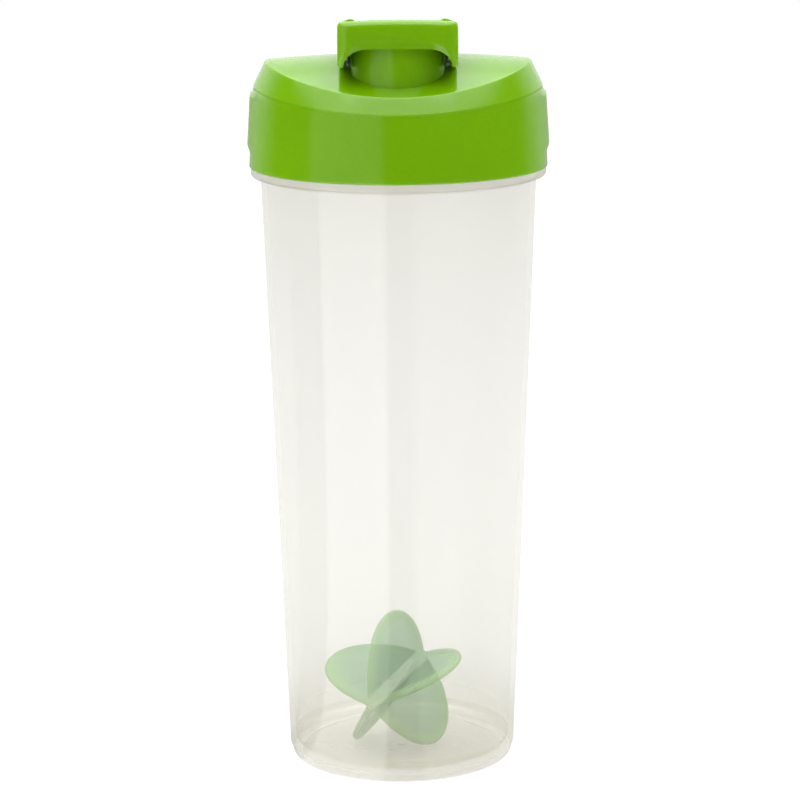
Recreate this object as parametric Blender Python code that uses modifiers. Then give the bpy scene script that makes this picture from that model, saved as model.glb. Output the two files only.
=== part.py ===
"""Shaker cup: a tapered cup, a screw lid with a spout and a flip cap, two seals and a loose mixing star.

Metres, +Z up. The origin is the centre of the cup's foot on the table, and the spout points to -Y.
"""

import math

import bmesh
import bpy
from mathutils import Matrix, Vector

MM = 0.001

# Clearance between pieces that seat on each other, and how far a cutter runs past what it cuts
CLEARANCE = 0.3 * MM
CUTTER_OVERRUN = 3.0 * MM

# Cup: tapered wall, whose rim sets the size of the lid and whose base sets that of the mixing star
CUP_BASE_RADIUS = 35.3 * MM
CUP_RIM_RADIUS = 42.1 * MM
CUP_WALL = 1.7 * MM
CUP_SHOULDER_HEIGHT = 184.3 * MM
CUP_FLOOR_THICKNESS = 1.8 * MM
CUP_FLOOR_FILLET = 2.6 * MM

# Cup: foot ring, with the floor recessed above it
FOOT_STEP = 0.7 * MM
FOOT_HEIGHT = 1.7 * MM
FOOT_STEP_HEIGHT = 1.0 * MM
FOOT_RING_WIDTH = 3.2 * MM
FOOT_RECESS = 1.2 * MM
FOOT_EDGE = 0.6 * MM

# Cup: flange bead under the lid, and the neck that the lid screws on
FLANGE_OVERHANG = 2.5 * MM
FLANGE_THICKNESS = 1.8 * MM
FLANGE_EDGE = 0.6 * MM
NECK_WALL = 1.8 * MM
NECK_THREAD_GAP = 1.25 * MM
NECK_BELOW_BAND = 1.8 * MM
NECK_EDGE = 0.7 * MM

# Lid: skirt, band line, chamfer and crowned top
SKIRT_OVER_FLANGE = 0.5 * MM
SKIRT_TAPER = 1.05 * MM
SKIRT_EDGE = 0.7 * MM
BAND_HEIGHT = 24.2 * MM
BAND_DIP = 4.7 * MM
BAND_EDGE = 1.6 * MM
CHAMFER_ANGLE = math.radians(24.5)
CROWN_OVER_BAND = 9.8 * MM
TOP_FRONT_FALL = 8.9 * MM
TOP_SIDE_FALL = 1.9 * MM
TOP_EDGE_INSET = 3.4 * MM
TOP_EDGE = 0.8 * MM
LID_WALL = 1.8 * MM
LID_DECK = 1.8 * MM
LID_INNER_FILLET = 0.5 * MM

# Lid: grip ribs, the first at the widest point and the others behind it
RIB_COUNT = 3
RIB_PITCH = math.radians(7.5)
RIB_WIDTH = 3.0 * MM
RIB_STAND_OFF = 0.95 * MM
RIB_DEPTH = 1.9 * MM
RIB_EDGE = 0.85 * MM
RIB_FOOT_GAP = 4.3 * MM
RIB_HEAD_GAP = 2.9 * MM

# Lid: spout
SPOUT_RADIUS = 14.0 * MM
SPOUT_WALL = 1.6 * MM
SPOUT_FRONT_GAP = 8.6 * MM
SPOUT_OVER_CROWN = 5.5 * MM
SPOUT_EDGE = 0.6 * MM

# Gasket between the neck's rim and the lid
GASKET_THICKNESS = 1.8 * MM
GASKET_INNER_OVERHANG = 0.3 * MM
GASKET_OUTER_OVERHANG = 0.7 * MM
GASKET_EDGE = 0.35 * MM
SEAT_INNER_OVERHANG = 0.8 * MM

# Flip cap: hood
CAP_SIDE_GAP = 1.9 * MM
CAP_WALL = 1.75 * MM
CAP_LIP_THICKNESS = 1.8 * MM
CAP_LIP_GAP = 0.8 * MM
CAP_LIP_HEIGHT = 8.2 * MM
CAP_LIP_OVERLAP = 0.8 * MM
CAP_LIP_CHAMFER_HEIGHT = 1.9 * MM
CAP_LIP_CHAMFER_DEPTH = 1.0 * MM
CAP_LIP_TOP_EDGE = 1.1 * MM
CAP_TOP_DROP = 3.9 * MM
CAP_DECK = 2.0 * MM
CAP_SIDE_EDGE = 0.8 * MM
CAP_OUTER_CORNER = 3.0 * MM
CAP_INNER_CORNER = 4.2 * MM
CAP_WALL_TOUCHDOWN = 19.0 * MM
CAP_WALL_HEEL = 9.0 * MM
CAP_WALL_GAP = 0.4 * MM
CAP_HOLLOW_CORNER = 1.0 * MM
CAP_DECK_REAR_SLANT = 0.4 * MM
CAP_SEAL_RING_WALL = 2.0 * MM
CAP_STATION_GAP = 0.05 * MM

# Flip cap: rails along both edges of its top
RAIL_WIDTH = 5.1 * MM
RAIL_CREST_WIDTH = 2.1 * MM
RAIL_CREST_INSET = 2.3 * MM
RAIL_HEIGHT = 0.8 * MM
RAIL_SIDE_INSET = 0.4 * MM
RAIL_SINK = 0.6 * MM
RAIL_FRONT_GAP = 2.4 * MM
RAIL_REAR_GAP = 1.5 * MM
RAIL_EDGE = 0.3 * MM

# Hinge: lugs and pins on the lid, eyes in the cap's side walls
HINGE_SETBACK = 12.5 * MM
HINGE_PIN_RADIUS = 1.5 * MM
HINGE_EYE_WALL = 1.4 * MM
LUG_THICKNESS = 2.6 * MM
LUG_RADIUS = 2.7 * MM
LUG_SIDE_GAP = 0.4 * MM
LUG_DECK_GAP = 0.5 * MM

# Spout seal: soft plug under the cap
SEAL_FLANGE_THICKNESS = 1.7 * MM
SEAL_FLANGE_INSET = 0.8 * MM
SEAL_PLUG_DEPTH = 2.7 * MM
SEAL_PLUG_TAPER = 0.4 * MM
SEAL_WALL = 1.6 * MM
SEAL_EDGE = 0.5 * MM

# Mixing star
STAR_BLADES = 5
STAR_BLADE_ROOM = 10.8 * MM
STAR_END_ROOM = 13.7 * MM
STAR_BLADE_THICKNESS = 2.3 * MM
STAR_BLADE_EDGE = 0.9 * MM
STAR_CORE_RADIUS = 2.5 * MM
STAR_CORE_EDGE = 0.9 * MM
STAR_POLE_BOSS = 0.6 * MM
STAR_FULLNESS = 0.9
STAR_TURN = math.radians(-24.6)
STAR_DIP = math.radians(7.5)
STAR_PLACE = (-1.4 * MM, -2.6 * MM)

# Facets
TURN_STEPS = 60
SPOUT_STEPS = 40
SMALL_TURN_STEPS = 24
FILLET_STEPS = 2
CORNER_STEPS = 4
TOP_RINGS = 6
BLADE_STEPS = 24

# Colours, sRGB, and finishes
LID_GREEN = (0.42, 0.66, 0.05)
CUP_NATURAL = (0.90, 0.89, 0.84)
STAR_GREEN = (0.45, 0.70, 0.38)
SEAL_WHITE = (0.86, 0.87, 0.84)


# Heights and places that follow from the sizes above

flange_base = CUP_SHOULDER_HEIGHT
flange_top = flange_base + FLANGE_THICKNESS
flange_radius = CUP_RIM_RADIUS + FLANGE_OVERHANG
floor_top = FOOT_RECESS + CUP_FLOOR_THICKNESS
floor_radius = CUP_BASE_RADIUS - CUP_WALL
foot_radius = CUP_BASE_RADIUS - FOOT_STEP

skirt_foot_radius = flange_radius + SKIRT_OVER_FLANGE
skirt_band_radius = skirt_foot_radius - SKIRT_TAPER
top_edge_radius = skirt_foot_radius - TOP_EDGE_INSET
lid_foot = flange_top + CLEARANCE
band_top = lid_foot + BAND_HEIGHT
lid_crown = band_top + CROWN_OVER_BAND

neck_radius = skirt_band_radius - LID_WALL - NECK_THREAD_GAP
neck_bore = neck_radius - NECK_WALL
neck_top = band_top - BAND_DIP - NECK_BELOW_BAND
gasket_base = neck_top + CLEARANCE
gasket_top = gasket_base + GASKET_THICKNESS
lid_seat = gasket_top + CLEARANCE

spout_top = lid_crown + SPOUT_OVER_CROWN
spout_bore = SPOUT_RADIUS - SPOUT_WALL
spout_front = SPOUT_FRONT_GAP - skirt_foot_radius
spout_centre = spout_front + SPOUT_RADIUS
spout_back = spout_centre + SPOUT_RADIUS

hinge_y = spout_back + HINGE_SETBACK


def top_height(x, y):
    """Height of the lid's crowned top above the point x, y."""
    side_fall = TOP_SIDE_FALL * (x / top_edge_radius) ** 2
    front_fall = TOP_FRONT_FALL * (y / top_edge_radius) ** 2
    return lid_crown - side_fall - front_fall


hinge_eye_radius = HINGE_PIN_RADIUS + CLEARANCE
hinge_end_radius = hinge_eye_radius + HINGE_EYE_WALL

cap_inner_half = SPOUT_RADIUS + CAP_SIDE_GAP
cap_half_width = cap_inner_half + CAP_WALL
cap_inner_front = spout_front - CAP_LIP_GAP
cap_front = cap_inner_front - CAP_LIP_THICKNESS
cap_lip_foot = spout_top - CAP_LIP_OVERLAP
cap_lip_top = cap_lip_foot + CAP_LIP_HEIGHT
cap_top_slope = CAP_TOP_DROP / (hinge_y - cap_front)
hinge_z = cap_lip_top - CAP_TOP_DROP - hinge_end_radius
cap_wall_landing = cap_front + CAP_WALL_TOUCHDOWN
cap_wall_heel = hinge_y - CAP_WALL_HEEL

lug_outer = cap_inner_half - LUG_SIDE_GAP
lug_inner = lug_outer - LUG_THICKNESS
deck_end = hinge_y - LUG_RADIUS - LUG_DECK_GAP

seal_base = spout_top + CLEARANCE
seal_top = seal_base + SEAL_FLANGE_THICKNESS
seal_flange_radius = SPOUT_RADIUS - SEAL_FLANGE_INSET
seal_plug_radius = spout_bore - CLEARANCE

star_blade_radius = floor_radius - STAR_BLADE_ROOM
star_half_length = floor_radius - STAR_END_ROOM


def cap_top_height(y):
    """Height of the flip cap's deck, which falls from the lip to the hinge."""
    return cap_lip_top - cap_top_slope * (y - cap_front)


# Helpers

parts = bpy.data.collections.new("shaker_cup")
cutters = bpy.data.collections.new("shaker_cup_cutters")


def clear_scene():
    """Remove what the file opened with, and link the two collections."""
    for scene_object in list(bpy.data.objects):
        bpy.data.objects.remove(scene_object, do_unlink=True)
    bpy.context.scene.collection.children.link(parts)
    bpy.context.scene.collection.children.link(cutters)


def as_part(piece, material):
    """Keep an object as a named piece of the cup."""
    parts.objects.link(piece)
    piece.data.materials.append(material)
    return piece


def as_cutter(tool):
    """Keep an object as a hidden tool for a Boolean."""
    cutters.objects.link(tool)
    tool.hide_render = True
    tool.display_type = "WIRE"
    return tool


def plastic(name, colour, roughness, alpha=1.0):
    """A moulded plastic: one Principled shader."""
    material = bpy.data.materials.new(name)
    material.use_nodes = True
    shader = material.node_tree.nodes["Principled BSDF"]
    linear = [c / 12.92 if c <= 0.04045 else ((c + 0.055) / 1.055) ** 2.4 for c in colour]
    shader.inputs["Base Color"].default_value = (*linear, 1.0)
    shader.inputs["Roughness"].default_value = roughness
    shader.inputs["Metallic"].default_value = 0.0
    shader.inputs["Alpha"].default_value = alpha
    material.diffuse_color = (*linear, alpha)
    return material


def combine(piece, tool, operation):
    """Add one exact Boolean to a piece."""
    boolean = piece.modifiers.new(tool.name, "BOOLEAN")
    boolean.operation = operation
    boolean.solver = "EXACT"
    boolean.object = tool
    return piece


def bevel(piece, width, segments=2, angle=math.radians(35)):
    """Round a piece's sharp edges."""
    rounding = piece.modifiers.new("rounding", "BEVEL")
    rounding.width = width
    rounding.segments = segments
    rounding.limit_method = "ANGLE"
    rounding.angle_limit = angle
    return piece


def rounded_path(corners, closed=False):
    """Turn corners (a, b, radius) into points, with an arc at each corner that has a radius."""
    points = []
    count = len(corners)
    for index, (a, b, radius) in enumerate(corners):
        here = Vector((a, b))
        is_end = not closed and index in (0, count - 1)
        if radius == 0 or is_end:
            points.append(here)
            continue
        before = Vector(corners[index - 1][:2]) - here
        after = Vector(corners[(index + 1) % count][:2]) - here
        half_angle = before.angle(after) / 2
        reach = min(radius / math.tan(half_angle), 0.45 * before.length, 0.45 * after.length)
        fitted = reach * math.tan(half_angle)
        centre = here + (before.normalized() + after.normalized()).normalized() * fitted / math.sin(half_angle)
        start = here + before.normalized() * reach - centre
        sweep = start.angle_signed(here + after.normalized() * reach - centre)
        for step in range(FILLET_STEPS + 1):
            turned_by = Matrix.Rotation(-sweep * step / FILLET_STEPS, 2)
            points.append(centre + turned_by @ start)
    return [(p.x, p.y) for p in points]


def turned(name, corners, steps=TURN_STEPS, closed=False):
    """A piece turned about Z from corners (radius, height, fillet) that run down its outer side."""
    path = rounded_path(corners, closed)
    mesh = bpy.data.meshes.new(name)
    edges = [(i, i + 1) for i in range(len(path) - 1)]
    if closed:
        edges.append((len(path) - 1, 0))
    mesh.from_pydata([(radius, 0, height) for radius, height in path], edges, [])
    piece = bpy.data.objects.new(name, mesh)
    screw = piece.modifiers.new("turn", "SCREW")
    screw.steps = steps
    screw.render_steps = steps
    screw.use_merge_vertices = True
    screw.merge_threshold = 0.00001
    screw.use_smooth_shade = True
    return piece


def lofted_around(name, section_at):
    """A solid whose section (radius, height) changes with the direction it faces.

    Each section runs from the axis at the top, out, down and back to the axis at the bottom.
    """
    shape = bmesh.new()
    top_points = section_at(0)
    top_centre = shape.verts.new((0, 0, top_points[0][1]))
    base_centre = shape.verts.new((0, 0, top_points[-1][1]))
    rows = []
    for turn in range(TURN_STEPS):
        azimuth = 2 * math.pi * turn / TURN_STEPS
        ring = section_at(azimuth)[1:-1]
        rows.append([
            shape.verts.new((r * math.cos(azimuth), r * math.sin(azimuth), z)) for r, z in ring
        ])
    for turn in range(TURN_STEPS):
        this, following = rows[turn], rows[(turn + 1) % TURN_STEPS]
        shape.faces.new((top_centre, this[0], following[0]))
        shape.faces.new((base_centre, following[-1], this[-1]))
        for upper in range(len(this) - 1):
            shape.faces.new((this[upper], this[upper + 1], following[upper + 1], following[upper]))
    bmesh.ops.recalc_face_normals(shape, faces=shape.faces)
    mesh = bpy.data.meshes.new(name)
    shape.to_mesh(mesh)
    shape.free()
    mesh.shade_smooth()
    return bpy.data.objects.new(name, mesh)


PLANES = {
    "YZ": Matrix(((0, 0, 1), (1, 0, 0), (0, 1, 0))),
    "XY": Matrix(((1, 0, 0), (0, 1, 0), (0, 0, 1))),
    "XZ": Matrix(((1, 0, 0), (0, 0, -1), (0, 1, 0))),
}


def flat_piece(name, outline, plane, middle, thickness):
    """A flat outline in one plane, given a thickness across it, as a mesh."""
    curve = bpy.data.curves.new(name + "_outline", "CURVE")
    curve.dimensions = "2D"
    curve.fill_mode = "BOTH"
    curve.extrude = thickness / 2
    spline = curve.splines.new("POLY")
    spline.points.add(len(outline) - 1)
    for point, (u, v) in zip(spline.points, outline):
        point.co = (u, v, 0, 1)
    spline.use_cyclic_u = True
    drawn = bpy.data.objects.new(name + "_outline", curve)
    cutters.objects.link(drawn)
    bpy.context.view_layer.update()
    evaluated = drawn.evaluated_get(bpy.context.evaluated_depsgraph_get())
    mesh = bpy.data.meshes.new_from_object(evaluated)
    bpy.data.objects.remove(drawn, do_unlink=True)
    shape = bmesh.new()
    shape.from_mesh(mesh)
    bmesh.ops.remove_doubles(shape, verts=shape.verts, dist=0.000001)
    bmesh.ops.dissolve_limit(
        shape, angle_limit=math.radians(0.5), verts=shape.verts, edges=shape.edges
    )
    shape.transform(Matrix.Translation(middle) @ PLANES[plane].to_4x4())
    bmesh.ops.recalc_face_normals(shape, faces=shape.faces)
    shape.to_mesh(mesh)
    shape.free()
    mesh.name = name
    return bpy.data.objects.new(name, mesh)


def cylinder(name, radius, length, matrix, steps):
    """A plain cylinder along its own Z, placed by a matrix."""
    shape = bmesh.new()
    bmesh.ops.create_cone(
        shape, cap_ends=True, segments=steps, radius1=radius, radius2=radius, depth=length, matrix=matrix
    )
    mesh = bpy.data.meshes.new(name)
    shape.to_mesh(mesh)
    shape.free()
    return bpy.data.objects.new(name, mesh)


def hung_on_axis(name, place, pieces):
    """Give pieces a parent empty that stands on their joint's axis."""
    pivot = bpy.data.objects.new(name, None)
    pivot.location = place
    parts.objects.link(pivot)
    for piece in pieces:
        piece.parent = pivot
        piece.matrix_parent_inverse = Matrix.Translation(place).inverted()


def joined(name, pieces):
    """Several plain meshes as one object."""
    shape = bmesh.new()
    for piece in pieces:
        shape.from_mesh(piece.data)
        bpy.data.objects.remove(piece, do_unlink=True)
    mesh = bpy.data.meshes.new(name)
    shape.to_mesh(mesh)
    shape.free()
    return bpy.data.objects.new(name, mesh)


# Cup

def wall_radius(height):
    """Outer radius of the tapered wall at a height."""
    share = height / CUP_SHOULDER_HEIGHT
    return CUP_BASE_RADIUS + (CUP_RIM_RADIUS - CUP_BASE_RADIUS) * share


def make_cup_body(material):
    """The cup with its foot, floor, wall, flange and neck, as one turned profile."""
    inner_base = wall_radius(floor_top) - CUP_WALL
    inner_rim = wall_radius(flange_base) - CUP_WALL
    step_top = FOOT_HEIGHT + FOOT_STEP_HEIGHT
    ring_inner = foot_radius - FOOT_RING_WIDTH
    corners = [
        (0, floor_top, 0),
        (inner_base, floor_top, CUP_FLOOR_FILLET),
        (inner_rim, flange_base, NECK_WALL),
        (neck_bore, flange_top + FLANGE_THICKNESS, NECK_WALL),
        (neck_bore, neck_top, NECK_EDGE),
        (neck_radius, neck_top, NECK_EDGE),
        (neck_radius, flange_top, 0),
        (flange_radius, flange_top, FLANGE_EDGE),
        (flange_radius, flange_base, FLANGE_EDGE),
        (wall_radius(flange_base), flange_base, FLANGE_EDGE),
        (wall_radius(step_top), step_top, FOOT_EDGE),
        (foot_radius, FOOT_HEIGHT, FOOT_EDGE),
        (foot_radius, 0, FOOT_EDGE),
        (ring_inner, 0, FOOT_EDGE),
        (ring_inner - FOOT_RECESS, FOOT_RECESS, FOOT_EDGE),
        (0, FOOT_RECESS, 0),
    ]
    return as_part(turned("cup_body", corners), material)


# Lid

def skirt_radius(height):
    """Outer radius of the lid's tapered skirt at a height."""
    return skirt_foot_radius - SKIRT_TAPER * (height - lid_foot) / BAND_HEIGHT


def band_height(azimuth):
    """Height of the band line, which dips at the front and the back."""
    return band_top - BAND_DIP * math.sin(azimuth) ** 2


def top_edge(azimuth):
    """Radius and height where the chamfer meets the crowned top."""
    band_z = band_height(azimuth)
    band_r = skirt_radius(band_z)
    radius = band_r
    for _ in range(8):
        height = top_height(radius * math.cos(azimuth), radius * math.sin(azimuth))
        radius = band_r - (height - band_z) * math.tan(CHAMFER_ANGLE)
    return radius, top_height(radius * math.cos(azimuth), radius * math.sin(azimuth))


def crowned_rings(azimuth, outer, drop):
    """Points along the crowned top, from the axis to just short of an outer radius."""
    rings = [outer * ring / TOP_RINGS for ring in range(TOP_RINGS)]
    return [(r, top_height(r * math.cos(azimuth), r * math.sin(azimuth)) - drop, 0) for r in rings]


def lid_outside(azimuth):
    """Section of the lid's outside in one direction."""
    edge_r, edge_z = top_edge(azimuth)
    band_z = band_height(azimuth)
    return rounded_path([
        *crowned_rings(azimuth, edge_r, 0),
        (edge_r, edge_z, TOP_EDGE),
        (skirt_radius(band_z), band_z, BAND_EDGE),
        (skirt_foot_radius, lid_foot, SKIRT_EDGE),
        (0, lid_foot, 0),
    ])


def lid_inside(azimuth):
    """Section of the space inside the lid in one direction, run out past its foot."""
    seat_bore = neck_bore - SEAT_INNER_OVERHANG
    ceiling = top_height(seat_bore * math.cos(azimuth), seat_bore * math.sin(azimuth)) - LID_DECK
    mouth = lid_foot - CUTTER_OVERRUN
    return rounded_path([
        *crowned_rings(azimuth, seat_bore, LID_DECK),
        (seat_bore, ceiling, LID_INNER_FILLET),
        (seat_bore, lid_seat, 0),
        (skirt_radius(lid_seat) - LID_WALL, lid_seat, 0),
        (skirt_radius(mouth) - LID_WALL, mouth, 0),
        (0, mouth, 0),
    ])


def grip_ribs():
    """Upright grip ribs on both sides of the skirt."""
    lean = math.atan2(SKIRT_TAPER, BAND_HEIGHT)
    rib_height = BAND_HEIGHT - RIB_FOOT_GAP - RIB_HEAD_GAP
    middle_z = lid_foot + RIB_FOOT_GAP + rib_height / 2
    middle_r = skirt_radius(middle_z) + RIB_STAND_OFF - RIB_DEPTH / 2
    ribs = []
    for side in (0, math.pi):
        for index in range(RIB_COUNT):
            towards_back = index if side == 0 else -index
            azimuth = side + towards_back * RIB_PITCH
            place = Matrix.Rotation(azimuth, 4, "Z") @ Matrix.Translation((middle_r, 0, middle_z))
            place = place @ Matrix.Rotation(-lean, 4, "Y")
            shape = bmesh.new()
            bmesh.ops.create_cube(shape, size=1.0, matrix=Matrix.Diagonal((RIB_DEPTH, RIB_WIDTH, rib_height, 1)))
            bmesh.ops.bevel(
                shape, geom=shape.edges, offset=RIB_EDGE, segments=FILLET_STEPS, affect="EDGES", profile=0.5
            )
            shape.transform(place)
            mesh = bpy.data.meshes.new("rib")
            shape.to_mesh(mesh)
            shape.free()
            ribs.append(bpy.data.objects.new("rib", mesh))
    return joined("grip_ribs", ribs)


def lug_outline(base):
    """Side view of a hinge lug: upright sides and a round top about the hinge axis."""
    outline = [(hinge_y + LUG_RADIUS, base), (hinge_y + LUG_RADIUS, hinge_z)]
    for step in range(1, SMALL_TURN_STEPS // 2):
        angle = 2 * math.pi * step / SMALL_TURN_STEPS
        outline.append((hinge_y + LUG_RADIUS * math.cos(angle), hinge_z + LUG_RADIUS * math.sin(angle)))
    return outline + [(hinge_y - LUG_RADIUS, hinge_z), (hinge_y - LUG_RADIUS, base)]


def hinge_lugs():
    """Two lugs behind the spout, each with a moulded pin that points outwards."""
    base = lid_seat
    pin_end = cap_half_width - CLEARANCE
    lug_middle = (lug_inner + lug_outer) / 2
    pin_middle = (lug_middle + pin_end) / 2
    lugs, pins = [], []
    for side in (1, -1):
        lugs.append(flat_piece("lug", lug_outline(base), "YZ", (side * lug_middle, 0, 0), LUG_THICKNESS))
        place = Matrix.Translation((side * pin_middle, hinge_y, hinge_z)) @ Matrix.Rotation(math.pi / 2, 4, "Y")
        pins.append(cylinder("pin", HINGE_PIN_RADIUS, pin_end - lug_middle, place, SMALL_TURN_STEPS // 2))
    return joined("hinge_lugs", lugs), joined("hinge_pins", pins)


def make_lid(material):
    """The screw lid: outside form, spout, ribs and lugs added, then hollowed from below."""
    lid = lofted_around("lid", lid_outside)
    spout = turned("spout_outside", [
        (0, spout_top, 0),
        (SPOUT_RADIUS, spout_top, SPOUT_EDGE),
        (SPOUT_RADIUS, lid_seat, 0),
        (0, lid_seat, 0),
    ], SPOUT_STEPS)
    spout.location.y = spout_centre
    hollow = lofted_around("lid_hollow", lid_inside)
    bore = turned("spout_bore", [
        (0, spout_top + CUTTER_OVERRUN, 0),
        (spout_bore, spout_top + CUTTER_OVERRUN, 0),
        (spout_bore, lid_seat, 0),
        (0, lid_seat, 0),
    ], SPOUT_STEPS)
    bore.location.y = spout_centre
    lugs, pins = hinge_lugs()
    for tool in (spout, grip_ribs(), lugs, pins):
        combine(lid, as_cutter(tool), "UNION")
    for tool in (hollow, bore):
        combine(lid, as_cutter(tool), "DIFFERENCE")
    return as_part(lid, material)


# Seals

def make_lid_gasket(material):
    """Flat ring between the neck's rim and the lid's seat."""
    inner = neck_bore - GASKET_INNER_OVERHANG
    outer = neck_radius + GASKET_OUTER_OVERHANG
    corners = [
        (inner, gasket_top, GASKET_EDGE),
        (outer, gasket_top, GASKET_EDGE),
        (outer, gasket_base, GASKET_EDGE),
        (inner, gasket_base, GASKET_EDGE),
    ]
    return as_part(turned("lid_gasket", corners, closed=True), material)


def make_spout_seal(material):
    """Soft plug under the cap: a flange over the spout's rim and a hollow tapered plug in its bore."""
    plug_base = spout_top - SEAL_PLUG_DEPTH
    plug_foot_radius = seal_plug_radius - SEAL_PLUG_TAPER
    corners = [
        (0, seal_top, 0),
        (seal_flange_radius, seal_top, SEAL_EDGE),
        (seal_flange_radius, seal_base, SEAL_EDGE),
        (seal_plug_radius, seal_base, 0),
        (plug_foot_radius, plug_base, SEAL_EDGE),
        (plug_foot_radius - SEAL_WALL, plug_base, SEAL_EDGE),
        (plug_foot_radius - SEAL_WALL, seal_base, SEAL_EDGE),
        (0, seal_base, 0),
    ]
    seal = turned("spout_seal", corners, SPOUT_STEPS)
    seal.location.y = spout_centre
    return as_part(seal, material)


# Flip cap

def hood_width(y, front, half, corner):
    """Half width of the hood at y, drawn in round its two front corners."""
    inset = max(0.0, corner - (y - front))
    return half - corner + math.sqrt(max(0.0, corner ** 2 - inset ** 2))


def hood_top(y):
    """Top of the hood at y: rounded lip, sloping deck, round end about the hinge."""
    deck = cap_top_height(y)
    inset = max(0.0, CAP_LIP_TOP_EDGE - (y - cap_front))
    lip = deck - CAP_LIP_TOP_EDGE + math.sqrt(max(0.0, CAP_LIP_TOP_EDGE ** 2 - inset ** 2))
    if y <= hinge_y:
        return lip
    return hinge_z + math.sqrt(max(0.0, hinge_end_radius ** 2 - (y - hinge_y) ** 2))


def above_top(y):
    """Lowest that a side wall of the hood may come over the lid's crowned top at y."""
    return top_height(cap_inner_half, y) + CAP_WALL_GAP


def hood_foot(y):
    """Lower edge of the hood at y: chamfered lip, falling side walls, round end about the hinge."""
    chamfer_end = cap_front + CAP_LIP_CHAMFER_DEPTH
    if y < chamfer_end:
        return cap_lip_foot + CAP_LIP_CHAMFER_HEIGHT * (chamfer_end - y) / CAP_LIP_CHAMFER_DEPTH
    if y < cap_inner_front:
        return cap_lip_foot
    if y < cap_wall_landing:
        share = (y - cap_inner_front) / (cap_wall_landing - cap_inner_front)
        return cap_lip_foot + (above_top(cap_wall_landing) - cap_lip_foot) * share
    if y <= cap_wall_heel:
        return above_top(y)
    if y < hinge_y:
        share = (y - cap_wall_heel) / (hinge_y - cap_wall_heel)
        heel_foot = above_top(cap_wall_heel)
        return heel_foot + share ** 2 * (hinge_z - hinge_end_radius - heel_foot)
    return hinge_z - math.sqrt(max(0.0, hinge_end_radius ** 2 - (y - hinge_y) ** 2))


def boxed_section(half_width, low, high, edge):
    """Corners of one section across the cap, with its edges rounded."""
    fitted = min(edge, 0.45 * (high - low), 0.45 * half_width)
    return rounded_path([
        (-half_width, low, fitted),
        (half_width, low, fitted),
        (half_width, high, fitted),
        (-half_width, high, fitted),
    ], closed=True)


def lofted_along(name, stations):
    """A solid through sections (y, points) across the cap, closed by a flat face at each end."""
    shape = bmesh.new()
    rings = [[shape.verts.new((x, y, z)) for x, z in points] for y, points in stations]
    for this, following in zip(rings, rings[1:]):
        for corner in range(len(this)):
            after = (corner + 1) % len(this)
            shape.faces.new((this[corner], this[after], following[after], following[corner]))
    shape.faces.new(rings[0])
    shape.faces.new(rings[-1])
    bmesh.ops.recalc_face_normals(shape, faces=shape.faces)
    mesh = bpy.data.meshes.new(name)
    shape.to_mesh(mesh)
    shape.free()
    return bpy.data.objects.new(name, mesh)


def arc_offsets(radius):
    """How far along a rounded corner each of its points lies."""
    return [radius * (1 - math.cos(math.pi / 2 * step / CORNER_STEPS)) for step in range(CORNER_STEPS + 1)]


def hood_stations():
    """Places along the hood where its section is drawn."""
    landed = cap_wall_heel - cap_wall_landing
    arched = hinge_y - cap_wall_heel
    places = {cap_front + offset for offset in arc_offsets(CAP_OUTER_CORNER)}
    places |= {cap_front + CAP_LIP_CHAMFER_DEPTH, cap_inner_front, hinge_y}
    for step in range(CORNER_STEPS):
        places.add(cap_wall_landing + landed * step / CORNER_STEPS)
        places.add(cap_wall_heel + arched * step / CORNER_STEPS)
        turn = math.pi / 2 * (step + 1) / (CORNER_STEPS + 1)
        places.add(hinge_y + hinge_end_radius * math.sin(turn))
    kept = []
    for y in sorted(places):
        if not kept or y - kept[-1] > CAP_STATION_GAP:
            kept.append(y)
    return kept


def hood():
    """The hood's outside, lofted from the lip to the hinge."""
    stations = []
    for y in hood_stations():
        half = hood_width(y, cap_front, cap_half_width, CAP_OUTER_CORNER)
        stations.append((y, boxed_section(half, hood_foot(y), hood_top(y), CAP_SIDE_EDGE)))
    return lofted_along("flip_cap", stations)


def hood_hollow():
    """The space inside the hood, open below, and open above behind the deck."""
    mouth = top_height(0, cap_front) - CUTTER_OVERRUN
    above = cap_lip_top + CUTTER_OVERRUN
    rear = hinge_y + hinge_end_radius + CUTTER_OVERRUN
    stations = []
    for offset in arc_offsets(CAP_INNER_CORNER):
        y = cap_inner_front + offset
        half = hood_width(y, cap_inner_front, cap_inner_half, CAP_INNER_CORNER)
        stations.append((y, boxed_section(half, mouth, cap_top_height(y) - CAP_DECK, CAP_HOLLOW_CORNER)))
    for y, ceiling in (
        (deck_end, cap_top_height(deck_end) - CAP_DECK),
        (deck_end + CAP_DECK_REAR_SLANT, above),
        (rear, above),
    ):
        stations.append((y, boxed_section(cap_inner_half, mouth, ceiling, CAP_HOLLOW_CORNER)))
    return lofted_along("hood_hollow", stations)


def seal_ring():
    """Ring under the deck that holds the spout seal; the hollow is cut round it."""
    base = seal_top + CLEARANCE
    outer = seal_flange_radius
    inner = outer - CAP_SEAL_RING_WALL
    above = cap_lip_top + CUTTER_OVERRUN
    ring = turned("seal_ring", [
        (inner, above, 0),
        (outer, above, 0),
        (outer, base, 0),
        (inner, base, 0),
    ], SPOUT_STEPS, closed=True)
    ring.location.y = spout_centre
    return ring


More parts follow.
